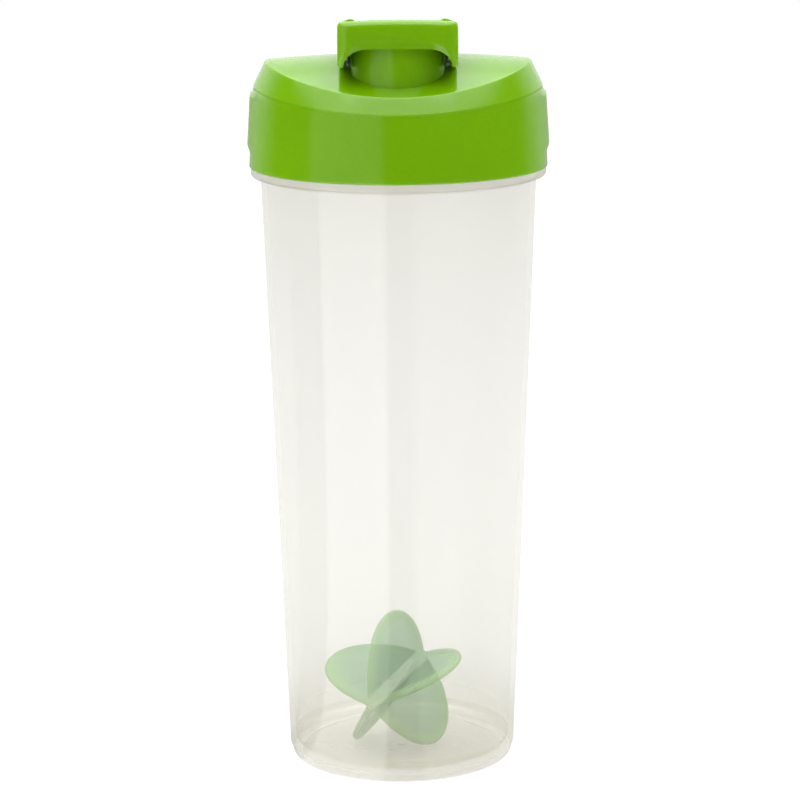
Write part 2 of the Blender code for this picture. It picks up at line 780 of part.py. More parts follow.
def top_rail(side):
    """One raised rail: steep towards the middle, sloping gently down to the side."""
    outer = cap_half_width - RAIL_SIDE_INSET
    crest_outer = cap_half_width - RAIL_CREST_INSET
    crest_inner = crest_outer - RAIL_CREST_WIDTH
    inner = cap_half_width - RAIL_WIDTH
    front = cap_front + RAIL_FRONT_GAP
    rear = deck_end - RAIL_REAR_GAP
    outline = [
        (side * outer, -RAIL_SINK),
        (side * outer, 0),
        (side * crest_outer, RAIL_HEIGHT),
        (side * crest_inner, RAIL_HEIGHT),
        (side * inner, 0),
        (side * inner, -RAIL_SINK),
    ]
    middle = (front + rear) / 2
    rail = flat_piece("rail", outline, "XZ", (0, 0, 0), rear - front)
    place = Matrix.Translation((0, middle, cap_top_height(middle)))
    rail.data.transform(place @ Matrix.Rotation(-math.atan(cap_top_slope), 4, "X"))
    return rail


def make_flip_cap(material):
    """The flip cap: a hood over the spout, hollow below, with rails on top and eyes at the hinge."""
    cap = hood()
    rails = joined("top_rails", [top_rail(1), top_rail(-1)])
    bevel(rails, RAIL_EDGE, segments=1)
    hollow = hood_hollow()
    combine(hollow, as_cutter(seal_ring()), "DIFFERENCE")
    across = Matrix.Translation((0, hinge_y, hinge_z)) @ Matrix.Rotation(math.pi / 2, 4, "Y")
    eye_length = 2 * (cap_half_width + CUTTER_OVERRUN)
    eyes = cylinder("hinge_eyes", hinge_eye_radius, eye_length, across, SMALL_TURN_STEPS // 2)
    combine(cap, as_cutter(rails), "UNION")
    combine(cap, as_cutter(hollow), "DIFFERENCE")
    combine(cap, as_cutter(eyes), "DIFFERENCE")
    return as_part(cap, material)


# Mixing star

def blade_outline():
    """One blade: a half oval that stands on the star's axis."""
    outline = []
    for step in range(1, BLADE_STEPS):
        angle = math.pi * step / BLADE_STEPS
        outline.append((
            star_blade_radius * math.sin(angle) ** STAR_FULLNESS,
            -star_half_length * math.cos(angle),
        ))
    return [(0, -star_half_length), *outline, (0, star_half_length)]


def make_agitator(material):
    """The mixing star: five blades fused to a short core, lying on two of its blades."""
    core_half = star_half_length + STAR_POLE_BOSS
    star = turned("agitator", [
        (0, core_half, 0),
        (STAR_CORE_RADIUS, core_half, STAR_CORE_EDGE),
        (STAR_CORE_RADIUS, -core_half, STAR_CORE_EDGE),
        (0, -core_half, 0),
    ], SMALL_TURN_STEPS)
    for blade in range(STAR_BLADES):
        plate = flat_piece("blade_%d" % blade, blade_outline(), "XZ", (0, 0, 0), STAR_BLADE_THICKNESS)
        plate.rotation_euler.z = 2 * math.pi * blade / STAR_BLADES
        bevel(plate, STAR_BLADE_EDGE, angle=math.radians(50))
        plate.parent = star
        combine(star, as_cutter(plate), "UNION")
    as_part(star, material)
    lying = Matrix(((0, -1, 0), (0, 0, -1), (1, 0, 0)))
    rest = Matrix.Rotation(STAR_TURN, 3, "Z") @ Matrix.Rotation(STAR_DIP, 3, "X") @ lying
    star.rotation_euler = rest.to_euler()
    bpy.context.view_layer.update()
    evaluated = star.evaluated_get(bpy.context.evaluated_depsgraph_get())
    lowest = min((rest @ vertex.co).z for vertex in evaluated.data.vertices)
    star.location = (*STAR_PLACE, floor_top + CLEARANCE - lowest)
    return star


def main():
    """Build every piece of the shaker cup."""
    clear_scene()
    natural = plastic("natural_polypropylene", CUP_NATURAL, 0.25, 0.6)
    lid_green = plastic("lid_green_polypropylene", LID_GREEN, 0.32)
    cap_green = plastic("cap_green_polypropylene", LID_GREEN, 0.32)
    clear_green = plastic("clear_green_polypropylene", STAR_GREEN, 0.35)
    gasket_white = plastic("gasket_white_silicone", SEAL_WHITE, 0.5)
    seal_white = plastic("seal_white_silicone", SEAL_WHITE, 0.5)
    make_cup_body(natural)
    make_lid(lid_green)
    make_lid_gasket(gasket_white)
    cap = make_flip_cap(cap_green)
    seal = make_spout_seal(seal_white)
    hung_on_axis("cap_hinge", (0, hinge_y, hinge_z), [cap, seal])
    make_agitator(clear_green)


main()
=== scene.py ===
# %% [markdown]
# # Shaker cup
#
# The model is a tall cup of natural polypropylene with a green screw lid. A round spout stands
# on the lid under a flip cap, and a loose green mixing star lies in the cup. The packed
# CAD model gives the sizes and the moving bodies. Every shape is made again here with finer
# facets and rounder edges, because clear and glossy plastic shows each flat facet.

# %% Load the CAD frame
import math

import bmesh
import bpy
from mathutils import Matrix, Vector


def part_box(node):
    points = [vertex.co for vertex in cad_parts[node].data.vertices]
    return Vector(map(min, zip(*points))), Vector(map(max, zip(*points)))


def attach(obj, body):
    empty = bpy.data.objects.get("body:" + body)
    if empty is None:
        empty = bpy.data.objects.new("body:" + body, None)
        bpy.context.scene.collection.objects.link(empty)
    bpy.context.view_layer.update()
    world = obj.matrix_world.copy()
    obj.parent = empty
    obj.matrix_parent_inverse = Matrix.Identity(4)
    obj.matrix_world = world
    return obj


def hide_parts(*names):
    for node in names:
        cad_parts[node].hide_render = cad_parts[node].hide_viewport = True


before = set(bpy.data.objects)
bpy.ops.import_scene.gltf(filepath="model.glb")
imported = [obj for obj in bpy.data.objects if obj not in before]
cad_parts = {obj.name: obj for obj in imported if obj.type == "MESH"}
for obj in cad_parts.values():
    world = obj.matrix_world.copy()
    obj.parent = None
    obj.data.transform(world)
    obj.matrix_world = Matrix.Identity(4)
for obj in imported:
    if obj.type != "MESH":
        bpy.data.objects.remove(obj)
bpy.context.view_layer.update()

# %% [markdown]
# ## Sizes
#
# Blender works in metres here, so a size in millimetres is multiplied by MM. The big sizes are
# read from the boxes of the CAD pieces. The small ones, such as edge radii and thread ridges,
# are named where they are first used.

# %% Main sizes, from the frame
MM = 0.001
cup_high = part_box("cup_body")[1]
lid_low, lid_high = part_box("lid")
gasket_low, gasket_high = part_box("lid_gasket")
cap_low, cap_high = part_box("flip_cap")
seal_low, seal_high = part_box("spout_seal")
star_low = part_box("agitator")[0]

neck_top = cup_high.z
flange_radius = cup_high.x
lid_foot = lid_low.z
lid_radius = lid_high.y
cap_front = cap_low.y
cap_half_width = cap_high.x
gap = gasket_low.z - neck_top
for place, size in (("neck top", neck_top), ("flange", flange_radius), ("lid foot", lid_foot)):
    print(place, "in mm:", round(size / MM, 1))

# %% [markdown]
# ## Camera
#
# The photograph was taken from straight in front with a long lens, a little above the cup.
# These values come from fitting the seen rims and edges, and the camera is turned a third of
# a degree about its own axis because the photograph is.

# %% Camera
CAMERA_DISTANCE = 884.7 * MM
CAMERA_HEIGHT = 302.3 * MM
CAMERA_TILT = math.radians(12.08)
CAMERA_ROLL = math.radians(-0.372)
SENSOR_WIDTH = 36.0
LENS = 130.93

camera_data = bpy.data.cameras.new("photo_camera")
camera_data.sensor_width = SENSOR_WIDTH
camera_data.lens = LENS
camera = bpy.data.objects.new("photo_camera", camera_data)
bpy.context.scene.collection.objects.link(camera)
camera.matrix_world = (
    Matrix.Translation((0, -CAMERA_DISTANCE, CAMERA_HEIGHT))
    @ Matrix.Rotation(math.pi / 2 - CAMERA_TILT, 4, "X")
    @ Matrix.Rotation(CAMERA_ROLL, 4, "Z")
)
bpy.context.scene.camera = camera
print("camera distance in mm:", round(CAMERA_DISTANCE / MM), "height:", round(CAMERA_HEIGHT / MM))

# %% [markdown]
# ## Tools for the shapes
#
# Most pieces of a cup are turned: one profile goes round an axis. The others are lofts, which
# run a skin through a row of sections. Both start from corners, and each corner can have a
# radius, as a drawing for a mould has. Six radii, from 0.3 to 1.8 mm, serve nearly every edge.
# Booleans then join or cut the plain forms, and a last step gives each piece smooth shading and
# crisp true edges.

# %% Rounded outlines
CORNER_STEPS = 5
# The arc at a corner takes up at most this share of each side that meets there.
LONGEST_REACH = 0.48
FINE_EDGE = 0.3 * MM
SMALL_EDGE = 0.4 * MM
EASED_EDGE = 0.5 * MM
SOFT_EDGE = 0.6 * MM
RIM_EDGE = 0.8 * MM
WIDE_EDGE = 1.8 * MM


def rounded(corners, closed=False, steps=CORNER_STEPS):
    """Turns corners (a, b, radius) into points, with an arc at each corner that has a radius."""
    points = []
    count = len(corners)
    for index, (a, b, radius) in enumerate(corners):
        here = Vector((a, b))
        if radius == 0 or (not closed and index in (0, count - 1)):
            points.append(here)
            continue
        before = Vector(corners[index - 1][:2]) - here
        after = Vector(corners[(index + 1) % count][:2]) - here
        half = before.angle(after) / 2
        longest = LONGEST_REACH * min(before.length, after.length)
        reach = min(radius / math.tan(half), longest)
        fitted = reach * math.tan(half)
        bisector = (before.normalized() + after.normalized()).normalized()
        centre = here + bisector * fitted / math.sin(half)
        start = here + before.normalized() * reach - centre
        sweep = start.angle_signed(here + after.normalized() * reach - centre)
        for step in range(steps + 1):
            points.append(centre + Matrix.Rotation(-sweep * step / steps, 2) @ start)
    return [(p.x, p.y) for p in points]


print("points on a square with one round corner:", len(rounded([(0, 0, 0), (1, 0, 0.2), (1, 1, 0)])))

# %% [markdown]
# A skin joins each row of points to the next one with four-sided faces. Rows of sections give a
# loft. Where the rows meet again, they give a ring. A solid whose section changes with the
# direction, as the lid's does, has its points on upright columns instead, which meet at its axis.

# %% Meshes from rows of points
def as_object(name, shape):
    """Makes a new object of the scene from a bmesh and frees the bmesh."""
    mesh = bpy.data.meshes.new(name)
    shape.to_mesh(mesh)
    shape.free()
    made = bpy.data.objects.new(name, mesh)
    bpy.context.scene.collection.objects.link(made)
    return made


def skin(name, rows, loop_rows=False):
    """Runs a skin through rows of 3D points and closes open ends with flat faces."""
    shape = bmesh.new()
    grid = [[shape.verts.new(point) for point in row] for row in rows]
    row_pairs = list(zip(grid, grid[1:]))
    if loop_rows:
        row_pairs.append((grid[-1], grid[0]))
    for this, following in row_pairs:
        for index in range(len(this)):
            after = (index + 1) % len(this)
            shape.faces.new((this[index], this[after], following[after], following[index]))
    if not loop_rows:
        shape.faces.new(grid[0])
        shape.faces.new(grid[-1])
    bmesh.ops.recalc_face_normals(shape, faces=shape.faces)
    return as_object(name, shape)


def count_faces(trial):
    """Number of faces of a trial object, which is removed again."""
    count = len(trial.data.polygons)
    bpy.data.objects.remove(trial, do_unlink=True)
    return count


square = [(0, 0), (1, 0), (1, 1), (0, 1)]
trial_box = skin("trial_box", [[(x, y, z) for x, y in square] for z in (0, 1)])
print("faces of a box, skinned from two rows of four points:", count_faces(trial_box))


# %% Solids whose section changes round their axis
def directions(steps):
    """Evenly spaced directions round the axis."""
    return [2 * math.pi * turn / steps for turn in range(steps)]


def domed_skin(name, section_at, azimuths):
    """Skin of a solid whose section (radius, height) changes with direction, pointed on its axis."""
    shape = bmesh.new()
    first = section_at(0)
    crown = shape.verts.new((0, 0, first[0][1]))
    base = shape.verts.new((0, 0, first[-1][1]))
    columns = []
    for azimuth in azimuths:
        column = section_at(azimuth)[1:-1]
        columns.append([
            shape.verts.new((r * math.cos(azimuth), r * math.sin(azimuth), z)) for r, z in column
        ])
    for this, following in zip(columns, columns[1:] + columns[:1]):
        shape.faces.new((crown, this[0], following[0]))
        shape.faces.new((base, following[-1], this[-1]))
        for row in range(len(this) - 1):
            shape.faces.new((this[row], this[row + 1], following[row + 1], following[row]))
    bmesh.ops.recalc_face_normals(shape, faces=shape.faces)
    return as_object(name, shape)


print("eight directions in degrees:", [round(math.degrees(turn)) for turn in directions(8)])


# %% Turned solids
def turned(name, corners, steps, closed=False, middle=(0, 0)):
    """Turns a profile of corners (radius, height, corner radius) about an upright axis."""
    path = rounded(corners, closed)
    if closed:
        rows = []
        for azimuth in directions(steps):
            rows.append([
                (middle[0] + r * math.cos(azimuth), middle[1] + r * math.sin(azimuth), z)
                for r, z in path
            ])
        return skin(name, rows, loop_rows=True)
    made = domed_skin(name, lambda azimuth: path, directions(steps))
    made.data.transform(Matrix.Translation((*middle, 0)))
    return made


trial_disc = turned("trial_disc", [(0, 1, 0), (1, 1, 0), (1, 0, 0), (0, 0, 0)], 8)
print("faces of a disc, turned in eight steps:", count_faces(trial_disc))

# %% [markdown]
# Plain solids are joined and cut with booleans, which are applied at once. A finished piece has
# smooth shading, and the edges that turn by more than about thirty degrees stay crisp. It is
# then fastened to its moving body in the frame and stands for the CAD piece of that body.

# %% Joining, cutting and finishing
SHARP_ANGLE = math.radians(32)


def combine(piece, tool, operation):
    """Joins or cuts a piece with a tool at once, and removes the tool."""
    boolean = piece.modifiers.new(operation.lower(), "BOOLEAN")
    boolean.operation = operation
    boolean.solver = "EXACT"
    boolean.object = tool
    settle(piece)
    bpy.data.objects.remove(tool, do_unlink=True)


def settle(piece):
    """Turns a piece's modifiers into its own plain mesh."""
    evaluated = piece.evaluated_get(bpy.context.evaluated_depsgraph_get())
    old = piece.data
    piece.data = bpy.data.meshes.new_from_object(evaluated)
    piece.data.name = old.name
    piece.modifiers.clear()
    bpy.data.meshes.remove(old)


def finish_piece(piece, material, body, node, sharp=SHARP_ANGLE):
    """Gives a piece its shading, material and body, and lets it stand for its CAD node."""
    piece.data.materials.clear()
    piece.data.materials.append(material)
    piece.data.shade_smooth()
    piece.data.set_sharp_from_angle(angle=sharp)
    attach(piece, body)
    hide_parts(node)
    print(piece.name, len(piece.data.polygons), "faces")


print("edges stay crisp from", round(math.degrees(SHARP_ANGLE)), "degrees")


# %% [markdown]
# ## Tools for the materials
#
# A colour is written as the sRGB hex value that a colour picker shows. Shaders work in linear
# light, so one function turns it. Another adds a node with its settings and its links.

# %% Colour and node helpers
def linear(hex_colour):
    """Linear colour of an sRGB hex value such as 6fae12."""
    channels = [int(hex_colour[place:place + 2], 16) / 255 for place in (0, 2, 4)]
    return (*[c / 12.92 if c <= 0.04045 else ((c + 0.055) / 1.055) ** 2.4 for c in channels], 1.0)


def add_node(tree, kind, inputs=None, **settings):
    """Adds one node: inputs maps a socket to a value or to another node's output."""
    node = tree.nodes.new(kind)
    for name, value in settings.items():
        setattr(node, name, value)
    for socket, value in (inputs or {}).items():
        if isinstance(value, bpy.types.NodeSocket):
            tree.links.new(value, node.inputs[socket])
        else:
            node.inputs[socket].default_value = value
    return node


def new_material(name):
    """An empty node material and its tree."""
    material = bpy.data.materials.new(name)
    material.use_nodes = True
    material.node_tree.nodes.clear()
    return material, material.node_tree


print("mid grey 808080 is", round(linear("808080")[0], 3), "in linear light")

# %% [markdown]
# ## Green polypropylene of the lid
#
# The lid and the flip cap are injection moulded from pigmented polypropylene. It is nearly
# opaque, and light runs a few millimetres into it, which rounds the shading. The mould was spark
# eroded, so the semi-gloss skin has a fine grain that breaks the edge of each reflection. Slow
# flow in the mould leaves faint clouds in the colour.

# %% Green polypropylene
GREEN_PIGMENT = "5b8900"
GREEN_CLOUD = "6b9e08"
# The real grain is about a tenth of a millimetre. It is drawn at half a millimetre, which is
# the finest that still shows at the photograph's size.
GRAIN_SIZE = 0.5 * MM
CLOUD_SIZE = 30 * MM
GRAIN_DEPTH = 0.01 * MM
LIGHT_DEPTH = 4.0 * MM


def moulded_green(name):
    """Semi-gloss green polypropylene with a fine eroded grain."""
    material, tree = new_material(name)
    place = add_node(tree, "ShaderNodeTexCoord").outputs["Object"]
    clouds, grain = [
        add_node(tree, "ShaderNodeTexNoise", {"Vector": place, "Scale": 1 / size, "Detail": detail})
        for size, detail in ((CLOUD_SIZE, 3.0), (GRAIN_SIZE, 2.0))
    ]
    mottle = add_node(tree, "ShaderNodeMath", {
        0: clouds.outputs["Fac"],
        1: grain.outputs["Fac"],
    }, operation="MULTIPLY")
    colour = add_node(tree, "ShaderNodeMix", {
        "Factor": mottle.outputs["Value"],
        "A": linear(GREEN_PIGMENT),
        "B": linear(GREEN_CLOUD),
    }, data_type="RGBA")
    bump = add_node(tree, "ShaderNodeBump", {
        "Height": grain.outputs["Fac"],
        "Strength": 0.1,
        "Distance": GRAIN_DEPTH,
    })
    shader = add_node(tree, "ShaderNodeBsdfPrincipled", {
        "Base Color": colour.outputs["Result"],
        "Roughness": 0.16,
        "IOR": 1.47,
        "Subsurface Weight": 0.5,
        "Subsurface Radius": (1.0, 1.0, 0.3),
        "Subsurface Scale": LIGHT_DEPTH,
        "Normal": bump.outputs["Normal"],
    })
    add_node(tree, "ShaderNodeOutputMaterial", {"Surface": shader.outputs["BSDF"]})
    return material


lid_green = moulded_green("lid_green_polypropylene")
print("nodes of the green polypropylene:", len(lid_green.node_tree.nodes))

# %% [markdown]
# ## Natural polypropylene of the cup
#
# Without pigment polypropylene is milky: light goes through, but its crystals scatter a part
# of it as a warm white. To the eye the wall is a pale veil, and the star shows softly through
# it. Towards the lid, under the flange and towards the floor the colour is a little darker and
# yellower: this is painted shade, where less light reaches the wall.

# %% Ramps over the height
FLANGE_FROM, FLANGE_TO = 182.5 * MM, 184.2 * MM


def highest_ramp(tree, place, low, ramps):
    """Highest of some smooth ramps over the height, each of which goes from low to its value."""
    height = add_node(tree, "ShaderNodeSeparateXYZ", {"Vector": place}).outputs["Z"]
    highest = low
    for begins, full, value in ramps:
        ramp = add_node(tree, "ShaderNodeMapRange", {
            "Value": height,
            "From Min": begins,
            "From Max": full,
            "To Min": low,
            "To Max": value,
        }, interpolation_type="SMOOTHSTEP").outputs["Result"]
        larger = add_node(tree, "ShaderNodeMath", {0: highest, 1: ramp}, operation="MAXIMUM")
        highest = larger.outputs["Value"]
    return highest


print("the flange's ramp runs over", round((FLANGE_TO - FLANGE_FROM) / MM, 1), "mm")


# %% Colour of natural polypropylene
# The two shade colours are painted shade: they darken and yellow the wall where less light falls.
NATURAL_WHITE = "bdbbb2"
WALL_PAINTED_SHADE = "bab6a7"
FLOOR_PAINTED_SHADE = "c9c6b8"
PAINTED_SHADE_LOW_FROM = 75 * MM
PAINTED_SHADE_UP_FROM, PAINTED_SHADE_UP_TO = 140 * MM, 186 * MM
PAINTED_SHADE_UP_SHARE = 0.6


def natural_colour(tree, place, painted_shade_colour):
    """Warm white, with painted shade towards the floor and the lid and under the flange."""
    shade = highest_ramp(tree, place, 0.0, [
        (PAINTED_SHADE_UP_FROM, PAINTED_SHADE_UP_TO, PAINTED_SHADE_UP_SHARE),
        (FLANGE_FROM, FLANGE_TO, 1.0),
        (PAINTED_SHADE_LOW_FROM, 0, 1.0),
    ])
    return add_node(tree, "ShaderNodeMix", {
        "Factor": shade,
        "A": linear(NATURAL_WHITE),
        "B": linear(painted_shade_colour),
    }, data_type="RGBA").outputs["Result"]


print("natural white", NATURAL_WHITE, "is", [round(c, 3) for c in linear(NATURAL_WHITE)[:3]])

# %% [markdown]
# A volume shader would be slow and grainy in so thin a wall. So each surface mixes a clear
# part with a milky part, and the share of the milky part is called its milk. Some of the milk
# is lit from behind, as in the real plastic, and it stops only a part of the light that casts
# shadows, because milk scatters light on. The mould is polished. The polish lies on the milky
# part alone, so its IOR is set higher than the 1.49 of polypropylene.

# %% Light that the milk holds back
SHADOW_SHARE = 0.35


def held_back(tree, milk):
    """Share of the light that the milk holds back, which is less for rays that cast shadows."""
    in_shadow = add_node(tree, "ShaderNodeMath", {
        0: add_node(tree, "ShaderNodeLightPath").outputs["Is Shadow Ray"],
        1: SHADOW_SHARE - 1,
        2: 1.0,
    }, operation="MULTIPLY_ADD")
    return add_node(tree, "ShaderNodeMath", {
        0: milk,
        1: in_shadow.outputs["Value"],
    }, operation="MULTIPLY").outputs["Value"]


print("share of the milk that counts for shadows:", SHADOW_SHARE)


# %% Milky and clear part of natural polypropylene
THROUGH_SHARE = 0.45
FLOW_SIZE = 12 * MM
ROUGHNESS_FROM, ROUGHNESS_TO = 0.08, 0.16
POLISH = {"IOR": 1.85, "Specular IOR Level": 1.0}


def natural_plastic(name, painted_shade_colour, milk, **polish):
    """Milky polypropylene: milk is the share of light that a surface scatters."""
    material, tree = new_material(name)
    place = add_node(tree, "ShaderNodeTexCoord").outputs["Object"]
    flow = add_node(tree, "ShaderNodeTexNoise", {
        "Vector": place,
        "Scale": 1 / FLOW_SIZE,
        "Detail": 2.0,
    })
    colour = natural_colour(tree, place, painted_shade_colour)
    front_lit = add_node(tree, "ShaderNodeBsdfPrincipled", {
        "Base Color": colour,
        "Roughness": add_node(tree, "ShaderNodeMapRange", {
            "Value": flow.outputs["Fac"],
            "To Min": ROUGHNESS_FROM,
            "To Max": ROUGHNESS_TO,
        }, interpolation_type="SMOOTHSTEP").outputs["Result"],
        **polish,
    })
    milky = add_node(tree, "ShaderNodeMixShader", {
        0: THROUGH_SHARE,
        1: front_lit.outputs["BSDF"],
        2: add_node(tree, "ShaderNodeBsdfTranslucent", {"Color": colour}).outputs["BSDF"],
    })
    clear = add_node(tree, "ShaderNodeBsdfTransparent", {"Color": (1.0, 1.0, 1.0, 1.0)})
    shader = add_node(tree, "ShaderNodeMixShader", {
        0: held_back(tree, milk(tree, place) if callable(milk) else milk),
        1: clear.outputs["BSDF"],
        2: milky.outputs["Shader"],
    })
    add_node(tree, "ShaderNodeOutputMaterial", {"Surface": shader.outputs["Shader"]})
    return material


print("share of the milk that is lit from behind:", THROUGH_SHARE)

# %% [markdown]
# The wall has two skins, and each would add its own milk. So the outer skin carries nearly all
# of it and the inner skin is left nearly clear. Where the plastic is thick, at the foot, the
# flange and the middle of the floor, it is milkier.

# %% Milk of the wall
OUTER_MILK = 0.31
INNER_MILK = 0.05
FOOT_MILK = 0.49
FOOT_MILK_FROM, FOOT_MILK_TO = 30 * MM, 6 * MM
FLANGE_MILK = 0.6


def milk_of_wall(tree, place):
    """Milk of the outer skin, which is most at the foot and the flange."""
    return highest_ramp(tree, place, OUTER_MILK, [
        (FOOT_MILK_FROM, FOOT_MILK_TO, FOOT_MILK),
        (FLANGE_FROM, FLANGE_TO, FLANGE_MILK),
    ])


print("milk of the wall", OUTER_MILK, "of the foot", FOOT_MILK, "of the flange", FLANGE_MILK)


# %% Milk of the floor and the four skins
FLOOR_MILK = 0.45
FLOOR_RIM_MILK = 0.35
FLOOR_MILK_FROM, FLOOR_MILK_TO = 34 * MM, 25 * MM
UNDERSIDE_MILK = 0.3


def milk_of_floor(tree, place):
    """Milk of the floor, which falls off where the floor runs up into the wall."""
    from_axis = add_node(tree, "ShaderNodeVectorMath", {0: place}, operation="LENGTH")
    return add_node(tree, "ShaderNodeMapRange", {
        "Value": from_axis.outputs["Value"],
        "From Min": FLOOR_MILK_FROM,
        "From Max": FLOOR_MILK_TO,
        "To Min": FLOOR_RIM_MILK,
        "To Max": FLOOR_MILK,
    }, interpolation_type="SMOOTHSTEP").outputs["Result"]


cup_outer = natural_plastic("natural_polypropylene", WALL_PAINTED_SHADE, milk_of_wall, **POLISH)
cup_inner = natural_plastic("natural_polypropylene_inner_skin", WALL_PAINTED_SHADE, INNER_MILK, **POLISH)
cup_floor = natural_plastic("natural_polypropylene_floor", FLOOR_PAINTED_SHADE, milk_of_floor, **POLISH)
cup_underside = natural_plastic(
    "natural_polypropylene_underside", FLOOR_PAINTED_SHADE, UNDERSIDE_MILK, **{"Specular IOR Level": 0.0}
)
print("milk of the floor", FLOOR_MILK, "of its rim", FLOOR_RIM_MILK, "underneath", UNDERSIDE_MILK)

# %% [markdown]
# ## Clear green polypropylene of the star
#
# The mixing star has only a little dye, so light passes through a blade, and where two blades
# lie behind each other the green is deeper. Light also runs inside the blades and comes out at
# their rims, so the rims are painted paler and yellower as a glow, marked on the mesh below.

# %% Clear green polypropylene
STAR_FILTER = "e1f0e1"
STAR_FACE = "2c7a4e"
# The rim colour is a painted glow: the light that comes out at the rims.
STAR_RIM_GLOW = "84b062"
FACE_SCATTER, RIM_SCATTER = 0.23, 0.44
RIM_GLOW_MARK = "rim"
star_green, star_tree = new_material("clear_green_polypropylene")
star_rim_glow = add_node(star_tree, "ShaderNodeAttribute", attribute_name=RIM_GLOW_MARK).outputs["Fac"]
star_colour = add_node(star_tree, "ShaderNodeMix", {
    "Factor": star_rim_glow,
    "A": linear(STAR_FACE),
    "B": linear(STAR_RIM_GLOW),
}, data_type="RGBA")
star_scatter = add_node(star_tree, "ShaderNodeMix", {
    "Factor": star_rim_glow,
    "A": FACE_SCATTER,
    "B": RIM_SCATTER,
})
star_through = add_node(star_tree, "ShaderNodeBsdfTransparent", {"Color": linear(STAR_FILTER)})
star_body = add_node(star_tree, "ShaderNodeBsdfPrincipled", {
    "Base Color": star_colour.outputs["Result"],
    "Roughness": 0.3,
    "IOR": 1.49,
})
star_shader = add_node(star_tree, "ShaderNodeMixShader", {
    0: star_scatter.outputs["Result"],
    1: star_through.outputs["BSDF"],
    2: star_body.outputs["BSDF"],
})
add_node(star_tree, "ShaderNodeOutputMaterial", {"Surface": star_shader.outputs["Shader"]})
through = [round(1 - scatter, 2) for scatter in (FACE_SCATTER, RIM_SCATTER)]
print("share of the light that a blade and its rim let through:", through)

# %% [markdown]
# ## Silicone of the seals
#
# The gasket and the spout seal are pressed from white silicone rubber: soft, matte and a
# little warm, with a fine dry bloom that keeps it from shining.

# %% Silicone
SILICONE_WHITE = "e4e4dc"
BLOOM_SIZE = 0.4 * MM
BLOOM_DEPTH = 0.02 * MM
silicone, silicone_tree = new_material("white_silicone")
silicone_place = add_node(silicone_tree, "ShaderNodeTexCoord").outputs["Object"]
silicone_bloom = add_node(silicone_tree, "ShaderNodeTexNoise", {
    "Vector": silicone_place,
    "Scale": 1 / BLOOM_SIZE,
})
silicone_bump = add_node(silicone_tree, "ShaderNodeBump", {
    "Height": silicone_bloom.outputs["Fac"],
    "Strength": 0.2,
    "Distance": BLOOM_DEPTH,
})
silicone_shader = add_node(silicone_tree, "ShaderNodeBsdfPrincipled", {
    "Base Color": linear(SILICONE_WHITE),
    "Roughness": 0.55,
    "IOR": 1.41,
    "Normal": silicone_bump.outputs["Normal"],
})
add_node(silicone_tree, "ShaderNodeOutputMaterial", {"Surface": silicone_shader.outputs["BSDF"]})
print("silicone", SILICONE_WHITE, "with", len(silicone_tree.nodes), "nodes")

# %% [markdown]
# ## The cup
#
# One profile holds the whole cup: floor, wall, flange and neck on the inside and the outside.
# The wall widens by under four hundredths of a millimetre for each millimetre of height, so
# that the moulding slips off its core. The foot stands in from the wall.

# %% Cup sizes
TURN_STEPS = 192
CUP_WALL = 1.7 * MM
CUP_BASE_RADIUS = 35.3 * MM
FLOOR_TOP = 3.0 * MM
FLANGE_THICKNESS = 1.8 * MM
FLANGE_OVERHANG = 2.5 * MM
NECK_RADIUS = 41.0 * MM
NECK_WALL = 1.8 * MM
FOOT_STEP = 0.7 * MM
FOOT_HEIGHT = 2.5 * MM
FOOT_RISE = 0.8 * MM
FOOT_RING = 3.2 * MM
FOOT_RECESS = 1.2 * MM
FLOOR_FILLET = 3.5 * MM
FLANGE_BULGE = 0.5 * MM
FLANGE_SAG = 0.5 * MM
FLANGE_EDGE = 0.35 * MM
FOOT_EDGE = 1.6 * MM
LID_LINE = 0.12 * MM

flange_top = lid_foot - gap
flange_base = flange_top - FLANGE_THICKNESS
rim_radius = flange_radius - FLANGE_OVERHANG
bulged_radius = flange_radius + FLANGE_BULGE
sagged_base = flange_base - FLANGE_SAG


def wall_radius(height):
    """Outer radius of the tapered wall."""
    return CUP_BASE_RADIUS + (rim_radius - CUP_BASE_RADIUS) * height / flange_base


print("wall radius under the flange in mm:", round(wall_radius(flange_base) / MM, 1))

# %% [markdown]
# The profile runs from the axis up the inside, over the neck's rim, down the neck, round the
# flange, down the outside and back to the axis under the foot. The third number of a corner is
# its radius. Turning it about the axis is how a turner would make the mould, too.

# %% Cup profile
foot_radius = CUP_BASE_RADIUS - FOOT_STEP
neck_bore = NECK_RADIUS - NECK_WALL
step_top = FOOT_HEIGHT + FOOT_RISE
cup = turned("cup_body_moulding", [
    (0, FLOOR_TOP, 0),
    (wall_radius(FLOOR_TOP) - CUP_WALL, FLOOR_TOP, FLOOR_FILLET),
    (wall_radius(flange_base) - CUP_WALL, flange_base, WIDE_EDGE),
    (neck_bore, flange_top + FLANGE_THICKNESS, WIDE_EDGE),
    (neck_bore, neck_top, RIM_EDGE),
    (NECK_RADIUS, neck_top, RIM_EDGE),
    (NECK_RADIUS, lid_foot - LID_LINE, SMALL_EDGE),
    (bulged_radius, lid_foot - LID_LINE, FLANGE_EDGE),
    (bulged_radius, sagged_base, RIM_EDGE),
    (wall_radius(sagged_base), sagged_base, EASED_EDGE),
    (wall_radius(step_top), step_top, SOFT_EDGE),
    (foot_radius, FOOT_HEIGHT, SOFT_EDGE),
    (foot_radius, 0, FOOT_EDGE),
    (foot_radius - FOOT_RING, 0, SOFT_EDGE),
    (foot_radius - FOOT_RING - FOOT_RECESS, FOOT_RECESS, SOFT_EDGE),
    (0, FOOT_RECESS, 0),
], TURN_STEPS)
print("cup profile turned in", TURN_STEPS, "steps, neck bore in mm:", round(2 * neck_bore / MM, 1))

